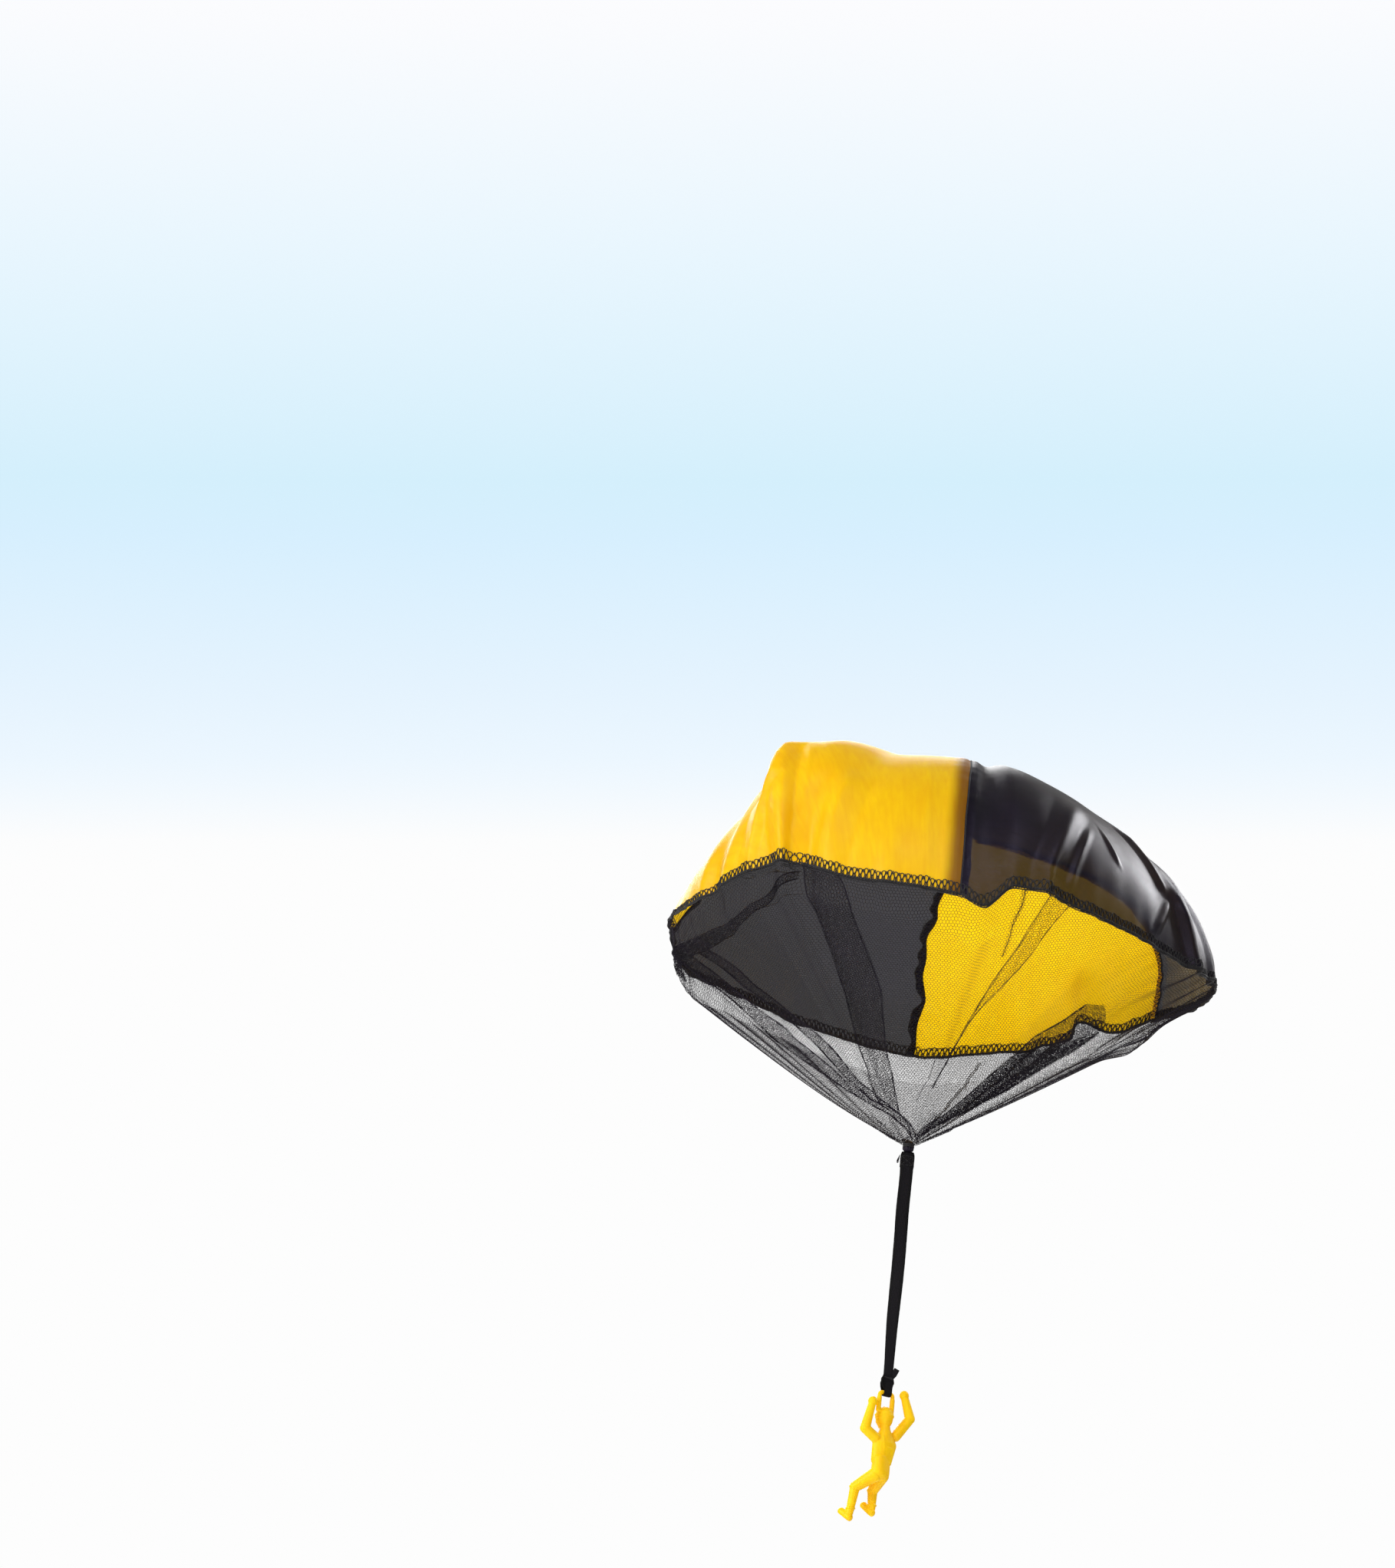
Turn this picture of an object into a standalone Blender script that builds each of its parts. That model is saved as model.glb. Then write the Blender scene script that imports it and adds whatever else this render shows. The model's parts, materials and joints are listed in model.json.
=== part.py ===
# Toy parachute: a canopy of four fabric quarters, a mesh skirt gathered to a point, a flat strap and
# a moulded skydiver that hangs from it by the ring on its helmet.
# The row stands with its crown at the origin, +Z up, and is seen in use from the side of -Y.
import math

import bmesh
import bpy
from mathutils import Matrix, Vector

MM = 0.001

# Driving sizes of the canopy
rim_radius = 149 * MM
crown_height = 91 * MM
crown_side = 6.5 * MM
crown_back = 25 * MM
fabric_thickness = 0.8 * MM
hem_width = 4.5 * MM
hem_thickness = 1.6 * MM
seam_width = 2.4 * MM
seam_outside = 0.4 * MM
seam_inside = 1.2 * MM
crown_patch_radius = 5 * MM
crown_patch_thickness = 1.6 * MM
fold_width = 14 * MM
fold_height = 6 * MM

# Mesh skirt and its gather
gather_drop = 99 * MM
gather_side = 8.4 * MM
net_thickness = 0.6 * MM
net_bulge = 9 * MM
net_slack_share = 0.25
net_steep_azimuth = 200
net_peak_shares = (0.28, 0.07)
pleat_height = 3 * MM
tie_radius = 2.8 * MM
gather_polar = 55
net_seam_azimuth = 78
net_seam_end_share = 0.86
net_seam_width = 1.6 * MM
net_seam_thickness = 0.8 * MM
tail_drop = 0.5 * MM
tail_length = 4 * MM
tail_width = 1.6 * MM
tail_thickness = 0.8 * MM

# Strap
strap_drop = 133.7 * MM
strap_width = 7 * MM
strap_thickness = 1.2 * MM
strap_foot_width = 5 * MM
strap_foot_thickness = 1.6 * MM
top_hem_width = 7.6 * MM
top_hem_pinch_width = 5 * MM
top_hem_height = 9 * MM
top_hem_thickness = 3 * MM
foot_top = 10 * MM
foot_width = 7.6 * MM
spare_corner_width = 3.2 * MM
spare_corner_height = 5.2 * MM
spare_corner_drop = 1.6 * MM
spare_corner_thickness = 1.1 * MM
loop_width = 5 * MM
loop_thickness = 0.9 * MM

# Skydiver
figure_height = 72 * MM
ring_wire = 1.1 * MM
ring_half_width = 4.1 * MM
ring_corner = 1.6 * MM
ring_height_share = 0.13
ring_foot_share = 0.058
figure_turn = math.radians(35)
figure_hips_turn = math.radians(60)
helmet_rise = 1.2 * MM
sole_depth = 1.6 * MM
sole_cutter_size = 9 * MM
remesh_size = 0.5 * MM
figure_face_share = 0.12

# Clearances between pieces
sewn_gap = 0.3 * MM
running_gap = 0.35 * MM
foot_clearance = 1.8 * MM
spare_corner_clearance = 0.5 * MM

# Azimuths, in degrees from +X towards +Y, where the four seams meet the hem
seam_azimuths = {"front": 272.5, "right": 397, "back": 454, "left": 540}
column_degrees = 5.8
narrow_share = 0.3
panel_rows = 8
skirt_rows = 8
patch_columns = 16

# The canopy's stations: azimuth, then the hem's radius and lift, the wall's radius and height, and the
# shoulder's radius and height. Radii are shares of the rim's radius, heights of the crown's height.
station_shares = [
    (0, 1.0, 0.02, 0.975, 0.59, 0.59, 1.03),
    (18, 1.0, 0.10, 1.05, 0.735, 0.595, 1.04),
    (37, 1.02, 0.17, 1.15, 1.00, 0.68, 1.06),
    (47, 1.0, 0.13, 1.08, 0.88, 0.55, 1.06),
    (54, 0.97, 0.32, 1.05, 0.84, 0.50, 1.06),
    (58.5, 1.0, 0.13, 1.05, 0.80, 0.50, 1.06),
    (68, 1.0, 0.09, 1.05, 0.80, 0.50, 1.06),
    (80, 1.0, 0.045, 1.03, 0.80, 0.50, 1.06),
    (94, 1.0, 0.0, 1.00, 0.80, 0.50, 1.05),
    (135, 1.0, 0.10, 1.05, 0.80, 0.50, 1.06),
    (165, 1.0, 0.05, 1.00, 0.65, 0.55, 1.06),
    (180, 1.0, 0.12, 0.845, 0.60, 0.565, 1.07),
    (206, 1.0, 0.03, 1.045, 0.57, 0.465, 1.115),
    (235, 1.0, 0.12, 1.105, 1.20, 0.68, 1.135),
    (250, 1.0, -0.03, 1.015, 1.03, 0.51, 1.25),
    (272.5, 1.0, -0.11, 0.975, 1.027, 0.453, 1.278),
    (277.5, 1.0, -0.16, 0.97, 0.985, 0.45, 1.255),
    (283, 1.0, -0.02, 1.01, 0.975, 0.465, 1.247),
    (303, 0.97, -0.06, 0.99, 0.855, 0.50, 1.156),
    (331, 0.96, -0.08, 0.985, 0.625, 0.524, 1.063),
]

# Folds of the canopy: azimuth and share of the way down where each starts and ends, then its half
# width and height as shares of the fold's.
fold_shares = [
    (225, 0.32, 237, 1.0, 0.9, 1.15),
    (222, 0.55, 214, 1.0, 0.9, -0.6),
    (243, 0.72, 240, 1.0, 0.6, -0.5),
    (300, 0.62, 290, 0.95, 0.7, 0.7),
    (322, 0.60, 336, 1.0, 0.8, 0.9),
    (346, 0.70, 352, 1.0, 0.6, -0.6),
    (55, 0.75, 54, 1.0, 0.9, -0.8),
    (75, 0.60, 70, 1.0, 1.0, 0.6),
    (118, 0.55, 124, 1.0, 1.1, 0.5),
    (150, 0.60, 147, 1.0, 0.9, -0.5),
]

# Pleats of the mesh skirt: azimuth at the hem and at the gather, half width in degrees, and height as
# a share of the pleat's.
pleat_shares = [
    (12, 20, 9, -0.9),
    (30, 28, 9, 1.0),
    (66, 62, 9, -0.7),
    (100, 95, 10, 0.6),
    (128, 126, 9, -0.7),
    (160, 164, 9, 1.0),
    (196, 190, 10, -0.9),
    (222, 218, 9, 0.7),
    (247, 244, 9, -1.0),
    (274, 272, 9, 0.6),
    (302, 296, 9, -0.8),
    (332, 330, 10, 0.7),
]


for old in list(bpy.data.objects):
    bpy.data.objects.remove(old, do_unlink=True)


def finish_material(name, colour, roughness):
    found = bpy.data.materials.get(name)
    if found:
        return found
    made = bpy.data.materials.new(name)
    made.use_nodes = True
    surface = made.node_tree.nodes["Principled BSDF"]
    surface.inputs["Base Color"].default_value = (*colour, 1.0)
    surface.inputs["Roughness"].default_value = roughness
    return made


def joint_empty(name, place, parent=None):
    """An empty on a joint's axis, which the pieces that move there hang from."""
    empty = bpy.data.objects.new(name, None)
    bpy.context.scene.collection.objects.link(empty)
    empty.parent = parent
    empty.location = place - parent.matrix_world.translation if parent else place
    bpy.context.view_layer.update()
    return empty


def add_piece(name, points, faces, colour, roughness, parent=None, sharp=math.radians(40)):
    """A closed mesh object, its points given in the row's frame."""
    mesh = bpy.data.meshes.new(name)
    offset = parent.matrix_world.translation if parent else Vector((0, 0, 0))
    mesh.from_pydata([tuple(Vector(point) - offset) for point in points], [], faces)
    shaping = bmesh.new()
    shaping.from_mesh(mesh)
    bmesh.ops.recalc_face_normals(shaping, faces=shaping.faces)
    shaping.to_mesh(mesh)
    shaping.free()
    mesh.shade_smooth()
    mesh.set_sharp_from_angle(angle=sharp)
    mesh.materials.append(finish_material(name, colour, roughness))
    piece = bpy.data.objects.new(name, mesh)
    piece.parent = parent
    bpy.context.scene.collection.objects.link(piece)
    return piece


# Surface of the canopy


def smooth_step(value):
    held = min(1.0, max(0.0, value))
    return held * held * (3 - 2 * held)


def station_value(column, azimuth):
    """One column of the stations at any azimuth, joined by a smooth closed curve."""
    count = len(station_shares)
    azimuth %= 360
    index = max(i for i in range(count) if station_shares[i][0] <= azimuth)

    def station(i):
        turns, at = divmod(i, count)
        return station_shares[at][0] + 360 * turns, station_shares[at][column]

    before, start, end, after = [station(index + k) for k in (-1, 0, 1, 2)]
    span = end[0] - start[0]
    t = (azimuth - start[0]) / span
    leave = (end[1] - before[1]) / (end[0] - before[0]) * span
    arrive = (after[1] - start[1]) / (after[0] - start[0]) * span
    return (
        (2 * t**3 - 3 * t**2 + 1) * start[1]
        + (t**3 - 2 * t**2 + t) * leave
        + (3 * t**2 - 2 * t**3) * end[1]
        + (t**3 - t**2) * arrive
    )


def plain_canopy(azimuth, share):
    """A point of the unfolded canopy, from the crown at share 0 to the hem at share 1."""
    hem_r, hem_z, wall_r, wall_z, shoulder_r, shoulder_z = [station_value(k, azimuth) for k in range(1, 7)]
    out = Vector((math.cos(math.radians(azimuth)), math.sin(math.radians(azimuth)), 0))
    up = Vector((0, 0, crown_height))
    # The row's origin is the crown, so the middle of the hem lies below it, to the side and in front.
    middle = Vector((-crown_side, -crown_back, -crown_height))
    lean = Vector((crown_side, crown_back, 0)) * 0.6
    crown = Vector((0, 0, 0))
    shoulder = middle + lean + out * shoulder_r * rim_radius + up * shoulder_z
    wall = middle + out * wall_r * rim_radius + up * wall_z
    hem = middle + out * hem_r * rim_radius + up * hem_z
    rest = 1 - share
    return crown * rest**3 + shoulder * 3 * rest**2 * share + wall * 3 * rest * share**2 + hem * share**3


def outward(surface, azimuth, share, turn=1.0, step=0.01):
    """The surface's outward normal."""
    along = surface(azimuth, min(1.0, share + step)) - surface(azimuth, share - step)
    across = surface(azimuth + turn, share) - surface(azimuth - turn, share)
    return along.cross(across).normalized()


def fold_rise(azimuth, share):
    rise = 0
    for start_az, start, end_az, end, width, height in fold_shares:
        way = (share - start) / (end - start)
        centre = start_az + (end_az - start_az) * min(1.0, max(0.0, way))
        turn = (azimuth - centre + 180) % 360 - 180
        reach = math.radians(abs(turn)) * rim_radius * share / (fold_width * width)
        if reach < 1:
            rise += fold_height * height * smooth_step(way * 2) * (1 - smooth_step(reach))
    return rise


def canopy(azimuth, share):
    """A point of the canopy with its folds, halfway through the fabric."""
    rise = fold_rise(azimuth, share)
    place = plain_canopy(azimuth, share)
    return place + outward(plain_canopy, azimuth, share) * rise if rise else place


def up_from_hem(azimuth, distance):
    """The share where the canopy is this far above its lower edge, measured along the fabric."""
    step = 0.02
    return 1 - distance / ((canopy(azimuth, 1) - canopy(azimuth, 1 - step)).length / step)


def down_from_crown(azimuth, distance):
    step = 0.02
    return distance / (canopy(azimuth, step).length / step)


def turn_for(azimuth, share, distance):
    """How many degrees round make this distance along the fabric."""
    return distance / ((canopy(azimuth + 1, share) - canopy(azimuth - 1, share)).length / 2)


# Closed shells from a grid of points


def grid_shell(grid, outside, inside, wrap=False):
    """Points and triangles of a closed shell round a grid of columns of points. Outside and inside are
    how far its faces stand from the grid along the normals. A wrapped grid's last column meets its first."""
    columns, rows = len(grid), len(grid[0])
    points = []

    def at(i, j):
        column = grid[i % columns] if wrap else grid[min(max(i, 0), columns - 1)]
        return column[min(max(j, 0), rows - 1)]

    for side in (outside, -inside):
        for i in range(columns):
            for j in range(rows):
                across = at(i + 1, j) - at(i - 1, j)
                along = at(i, j + 1) - at(i, j - 1)
                points.append(grid[i][j] + along.cross(across).normalized() * side)
    faces = []
    other = columns * rows

    def number(i, j):
        return (i % columns) * rows + j

    def wall(a, b):
        faces.extend([(a, b, b + other), (a, b + other, a + other)])

    for i in range(columns if wrap else columns - 1):
        for j in range(rows - 1):
            a, b, c, d = number(i, j), number(i + 1, j), number(i + 1, j + 1), number(i, j + 1)
            faces.extend([(a, b, c), (a, c, d)])
            faces.extend([(a + other, c + other, b + other), (a + other, d + other, c + other)])
        wall(number(i + 1, 0), number(i, 0))
        wall(number(i, rows - 1), number(i + 1, rows - 1))
    if not wrap:
        for j in range(rows - 1):
            wall(number(0, j), number(0, j + 1))
            wall(number(columns - 1, j + 1), number(columns - 1, j))
    return points, faces


def quarter_azimuths(start, end):
    columns = math.ceil((end - start) / column_degrees)
    return [start + (end - start) * i / columns for i in range(columns + 1)]


black = (0.012, 0.011, 0.013)
yellow = (0.93, 0.50, 0.004)
thread_black = (0.010, 0.009, 0.011)

quarters = {
    "front_right": ("front", "right", black, 0),
    "back_right": ("right", "back", yellow, 0),
    "back_left": ("back", "left", black, 0),
    "front_left": ("left", "front", yellow, 360),
}


def share_between(azimuth, way):
    """The share this far down the fabric that shows between the crown's bar tack and the hem."""
    top = down_from_crown(azimuth, crown_patch_radius + sewn_gap)
    return top + (up_from_hem(azimuth, hem_width + sewn_gap) - top) * way


def panel_place(start, end, azimuth, part, way):
    """A place on a quarter, kept clear of the seam at either edge of it."""
    at = azimuth
    for attempt in range(3):
        share = share_between(at, way)
        room = turn_for(at, share, seam_width / 2 + sewn_gap)
        spread = start + room + (end - start - 2 * room) * part
        held = min(max(azimuth, start + room), end - room)
        at = spread if share < narrow_share or part in (0, 1) else held
    return canopy(at, share_between(at, way))


def add_panel(name, start, end, colour):
    """One quarter of the canopy, cut clear of its two seams, the hem and the crown's bar tack."""
    stations = quarter_azimuths(start, end)
    grid = []
    for i, azimuth in enumerate(stations):
        part = i / (len(stations) - 1)
        ways = [(j / panel_rows) ** 0.85 for j in range(panel_rows + 1)]
        grid.append([panel_place(start, end, azimuth, part, way) for way in ways])
    points, faces = grid_shell(grid, fabric_thickness / 2, fabric_thickness / 2)
    add_piece("panel_" + name, points, faces, colour, 0.35)


def add_hem(name, start, end):
    """The overlocked edge along one quarter, from seam to seam."""
    grid = []
    stations = quarter_azimuths(start, end)
    for i, azimuth in enumerate(stations):
        room = turn_for(azimuth, 1, sewn_gap / 2)
        azimuth += room if i == 0 else -room if i == len(stations) - 1 else 0
        grid.append([canopy(azimuth, up_from_hem(azimuth, hem_width)), canopy(azimuth, 1)])
    points, faces = grid_shell(grid, hem_thickness / 2, hem_thickness / 2)
    add_piece("hem_" + name, points, faces, thread_black, 0.7)


def add_seam(name, azimuth):
    """The overlocked allowance of one seam, proud of the fabric on the inside."""
    steps = panel_rows * 2
    grid = []
    for sign in (-1, 1):
        column = []
        for j in range(steps + 1):
            at = azimuth
            for attempt in range(3):
                share = share_between(at, j / steps)
                at = azimuth + sign * turn_for(at, share, seam_width / 2)
            column.append(canopy(at, share_between(at, j / steps)))
        grid.append(column)
    points, faces = grid_shell(grid, seam_outside, seam_inside)
    add_piece("seam_" + name, points, faces, thread_black, 0.7)


def add_crown_bartack():
    """The round tack where the four seams cross, which follows the fabric."""
    rings = 2
    half = crown_patch_thickness / 2
    top, below = [Vector((0, 0, half))], [Vector((0, 0, -half))]
    for k in range(1, rings + 1):
        for i in range(patch_columns):
            azimuth = 360 * i / patch_columns
            share = down_from_crown(azimuth, crown_patch_radius * k / rings)
            place = canopy(azimuth, share)
            lift = outward(canopy, azimuth, share, step=share / 2) * half
            top.append(place + lift)
            below.append(place - lift)
    count = len(top)
    faces = []
    for i in range(patch_columns):
        a, b = 1 + i, 1 + (i + 1) % patch_columns
        c, d = b + patch_columns, a + patch_columns
        upper = [(0, a, b), (a, d, c), (a, c, b)]
        faces += upper + [tuple(count + v for v in reversed(face)) for face in upper]
        faces += [(d, d + count, c + count), (d, c + count, c)]
    add_piece("crown_bartack", top + below, faces, thread_black, 0.7)


for quarter, (first, last, colour, turn) in quarters.items():
    low, high = seam_azimuths[first], seam_azimuths[last] + turn
    add_panel(quarter, low, high, colour)
    add_hem(quarter, low, high)
for seam, azimuth in seam_azimuths.items():
    add_seam(seam, azimuth)
add_crown_bartack()


# Mesh skirt

gather = Vector((-crown_side - gather_side, -crown_back, -crown_height - gather_drop))
net_colour = (0.05, 0.048, 0.055)


def skirt_azimuths():
    """The hem's own stations all the way round, so that the skirt's top edge follows the hem."""
    found = []
    for first, last, colour, turn in quarters.values():
        found += quarter_azimuths(seam_azimuths[first], seam_azimuths[last] + turn)[:-1]
    return found


def pleat_rise(azimuth, way):
    rise = 0
    for at_hem, at_gather, half_turn, height in pleat_shares:
        centre = at_hem + (at_gather - at_hem) * way
        reach = abs((azimuth - centre + 180) % 360 - 180) / half_turn
        if reach < 1:
            rise += pleat_height * height * (1 - smooth_step(reach))
    return rise * smooth_step(way * 3) * smooth_step((1 - way) * 1.6)


def net_bulge_at(azimuth, way):
    """How far the skirt stands outside a straight line, most where it drops steeply from the hem."""
    steep = smooth_step(math.cos(math.radians(azimuth - net_steep_azimuth)) * 0.7 + 0.5)
    peak = net_peak_shares[0] + (net_peak_shares[1] - net_peak_shares[0]) * steep
    height = net_bulge * (net_slack_share + (1 - net_slack_share) * steep)
    rise = min(1, 2 * smooth_step(way / peak / 2))
    return height * rise * (1 - 2 * smooth_step((way - peak) / (1 - peak) / 2))


def skirt(azimuth, way):
    """A point of the mesh skirt, from the hem at 0 to the gather at 1."""
    out = Vector((math.cos(math.radians(azimuth)), math.sin(math.radians(azimuth)), 0))
    edge = canopy(azimuth, 1)
    downward = (edge - canopy(azimuth, 0.98)).normalized()
    start = edge + downward * sewn_gap
    reach = tie_radius + running_gap + net_thickness
    polar = math.radians(gather_polar)
    end = gather + out * reach * math.sin(polar) + Vector((0, 0, reach * math.cos(polar)))
    line = (end - start).normalized()
    across = Vector((-out.y, out.x, 0))
    side = line.cross(across).normalized()
    side *= -1 if side.z > 0 else 1
    return start.lerp(end, way) + side * (net_bulge_at(azimuth, way) + pleat_rise(azimuth, way))


def add_skirt():
    azimuths = skirt_azimuths()
    ways = [(j / skirt_rows) ** 1.15 for j in range(skirt_rows + 1)]
    grid = [[skirt(azimuth, way) for way in ways] for azimuth in azimuths]
    points, faces = grid_shell(grid, net_thickness / 2, net_thickness / 2, wrap=True)
    add_piece("net_skirt", points, faces, net_colour, 0.8)
    # The closing seam lies flat on the outside of one column of the skirt.
    column = min(range(len(azimuths) - 1), key=lambda i: abs(azimuths[i] % 360 - net_seam_azimuth))
    rows = [j for j in range(1, skirt_rows) if ways[j] < net_seam_end_share]
    strip = [[], []]
    for j in rows:
        left, right = grid[column][j], grid[column + 1][j]
        middle, half = (left + right) / 2, (right - left).normalized() * net_seam_width / 2
        strip[0].append(middle - half)
        strip[1].append(middle + half)
    near = net_thickness / 2 + sewn_gap
    points, faces = grid_shell(strip, near + net_seam_thickness, -near)
    add_piece("net_closing_seam", points, faces, thread_black, 0.7)


add_skirt()


# Joint axes of the hanging parts

neck_axis = joint_empty("neck_axis", gather)
strap_axis = joint_empty("strap_axis", gather, neck_axis)
ring_centre = gather - Vector((0, 0, strap_drop))
twist_place = ring_centre + Vector((0, 0, foot_top))
twist_axis = joint_empty("twist_axis", twist_place, strap_axis)
ring_axis = joint_empty("ring_axis", ring_centre, twist_axis)


def turned(turn):
    """The sideways and forward directions of a piece turned round the strap."""
    return Vector((math.cos(turn), math.sin(turn), 0)), Vector((-math.sin(turn), math.cos(turn), 0))


def rounded_section(centre, turn, width, depth, corner_share=0.3, corner_steps=3):
    """A level rectangle with round corners, as a loop of points."""
    side, ahead = turned(turn)
    corner = min(width, depth) * corner_share
    loop = []
    for quarter in range(4):
        sign_x, sign_y = ((1, 1), (-1, 1), (-1, -1), (1, -1))[quarter]
        for k in range(corner_steps):
            angle = math.radians(90 * (quarter + k / (corner_steps - 1)))
            x = sign_x * (width / 2 - corner) + corner * math.cos(angle)
            y = sign_y * (depth / 2 - corner) + corner * math.sin(angle)
            loop.append(centre + side * x + ahead * y)
    return loop


def loft(loops):
    """A closed body through loops of equal count, with flat ends."""
    count = len(loops[0])
    points = [point for loop in loops for point in loop]
    faces = [tuple(range(count)), tuple(range(len(points) - 1, len(points) - count - 1, -1))]
    for level in range(len(loops) - 1):
        for i in range(count):
            a, b = level * count + i, level * count + (i + 1) % count
            faces.append((a, b, b + count, a + count))
    return points, faces


def add_loft(name, sections, colour, roughness, parent, origin):
    """Sections are height above the origin, turn, width and depth."""
    loops = []
    for height, turn, width, depth in sections:
        loops.append(rounded_section(origin + Vector((0, 0, height)), turn, width, depth))
    points, faces = loft(loops)
    return add_piece(name, points, faces, colour, roughness, parent)


strap_black = (0.008, 0.008, 0.010)


def add_gather_tie():
    """The thread tie round the gathered mesh: a ball on the joint, so that it turns inside the skirt."""
    mesh = bpy.data.meshes.new("gather_tie")
    shaping = bmesh.new()
    bmesh.ops.create_uvsphere(shaping, u_segments=20, v_segments=12, radius=tie_radius)
    shaping.to_mesh(mesh)
    shaping.free()
    mesh.shade_smooth()
    mesh.materials.append(finish_material("gather_tie", thread_black, 0.7))
    piece = bpy.data.objects.new("gather_tie", mesh)
    piece.parent = neck_axis
    bpy.context.scene.collection.objects.link(piece)


def add_prism(name, outline, thickness, colour, parent, origin):
    """A flat piece across the strap's thickness, from an outline of sideways and upward places."""
    count = len(outline)
    points = []
    for y in (-thickness / 2, thickness / 2):
        points += [origin + Vector((x, y, z)) for x, z in outline]
    faces = [tuple(range(count)), tuple(range(2 * count - 1, count - 1, -1))]
    for i in range(count):
        a, b = i, (i + 1) % count
        faces.append((a, a + count, b + count, b))
    add_piece(name, points, faces, colour, 0.8, parent)


def add_strap():
    hem_top = -tie_radius - running_gap
    pinch = (top_hem_width - top_hem_pinch_width) / 2
    top = [
        (hem_top, 0, top_hem_pinch_width, top_hem_thickness),
        (hem_top - pinch, 0, top_hem_width, top_hem_thickness),
        (hem_top - top_hem_height, 0, top_hem_width, top_hem_thickness),
    ]
    add_loft("strap_top_hem", top, strap_black, 0.6, strap_axis, gather)
    start = hem_top - top_hem_height - sewn_gap
    end = -strap_drop + foot_top + sewn_gap / 2
    levels = []
    steps = 12
    for k in range(steps + 1):
        way = k / steps
        taper = smooth_step((way - 0.5) * 2)
        width = strap_width + (strap_foot_width - strap_width) * taper
        thickness = strap_thickness + (strap_foot_thickness - strap_thickness) * taper
        levels.append((start + (end - start) * way, 0, width, thickness))
    add_loft("strap", levels, strap_black, 0.6, strap_axis, gather)
    # The mesh end hangs beside the strap's top hem, near enough to clear the skirt when the strap swings.
    near = -top_hem_width / 2 - sewn_gap
    high = hem_top - pinch - sewn_gap - tail_drop
    low = high - tail_length
    outline = [
        (near, high),
        (near, low),
        (near - tail_width, low - tail_width / 2),
        (near - tail_width * 0.7, high - tail_length * 0.35),
    ]
    add_prism("net_tail", outline, tail_thickness, net_colour, strap_axis, gather)


def add_strap_foot():
    """The strap's end, folded through the helmet ring and sewn to itself."""
    loop_mid = ring_wire + running_gap + loop_thickness / 2
    base = loop_mid + loop_thickness / 2 + foot_clearance
    depth = 2 * loop_mid + loop_thickness
    mid = (base + foot_top) / 2
    sections = [
        (base, figure_turn, foot_width, depth),
        (mid, figure_turn * 0.7, foot_width * 0.92, depth * 0.85),
        (foot_top - sewn_gap / 2, figure_turn * 0.3, strap_foot_width, strap_foot_thickness * 1.2),
    ]
    add_loft("strap_knot", sections, strap_black, 0.6, twist_axis, ring_centre)
    side, ahead = turned(figure_turn)
    steps = 12
    route = [ahead * loop_mid + Vector((0, 0, base - sewn_gap))]
    for k in range(steps + 1):
        angle = math.pi * k / steps
        route.append(ahead * loop_mid * math.cos(angle) - Vector((0, 0, loop_mid * math.sin(angle))))
    route.append(-ahead * loop_mid + Vector((0, 0, base - sewn_gap)))
    grid = []
    for sign in (-1, 1):
        grid.append([ring_centre + point + side * sign * loop_width / 2 for point in route])
    points, faces = grid_shell(grid, loop_thickness / 2, loop_thickness / 2)
    add_piece("strap_loop", points, faces, strap_black, 0.6, twist_axis)
    near = strap_foot_width / 2 + spare_corner_clearance
    outline = [
        (near, foot_top - spare_corner_drop),
        (near + spare_corner_width, foot_top - spare_corner_drop + spare_corner_height),
        (near, foot_top - spare_corner_drop + spare_corner_height * 0.92),
    ]
    add_prism("knot_tail", outline, spare_corner_thickness, strap_black, twist_axis, ring_centre)


add_gather_tie()
add_strap()
add_strap_foot()


# Skydiver
# Places from the middle of the helmet ring's bar, as shares of the figure's height: x to the side, y
# away, z up.

figure_yellow = (0.96, 0.62, 0.01)
figure_place_shares = {
    "head": (0.001, 0.011, -0.180),
    "neck": (0.015, -0.009, -0.279),
    "chest": (0.018, -0.009, -0.376),
    "waist": (0.007, -0.025, -0.491),
    "hips": (0.005, -0.041, -0.583),
    "left_shoulder": (-0.047, -0.056, -0.343),
    "right_shoulder": (0.092, 0.035, -0.298),
    "left_elbow": (-0.129, -0.092, -0.286),
    "right_elbow": (0.184, 0.089, -0.151),
    "left_hand": (-0.091, -0.078, -0.084),
    "right_hand": (0.129, 0.069, 0.010),
    "left_hip": (-0.031, -0.062, -0.607),
    "right_hip": (0.019, -0.014, -0.600),
    "left_knee": (-0.163, 0.006, -0.692),
    "right_knee": (-0.037, 0.092, -0.692),
    "left_ankle": (-0.186, 0.003, -0.879),
    "right_ankle": (-0.033, 0.093, -0.815),
    "left_heel": (-0.189, 0.004, -0.912),
    "right_heel": (-0.034, 0.090, -0.847),
    "left_toe": (-0.244, 0.036, -0.870),
    "right_toe": (-0.090, 0.124, -0.797),
}

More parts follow.
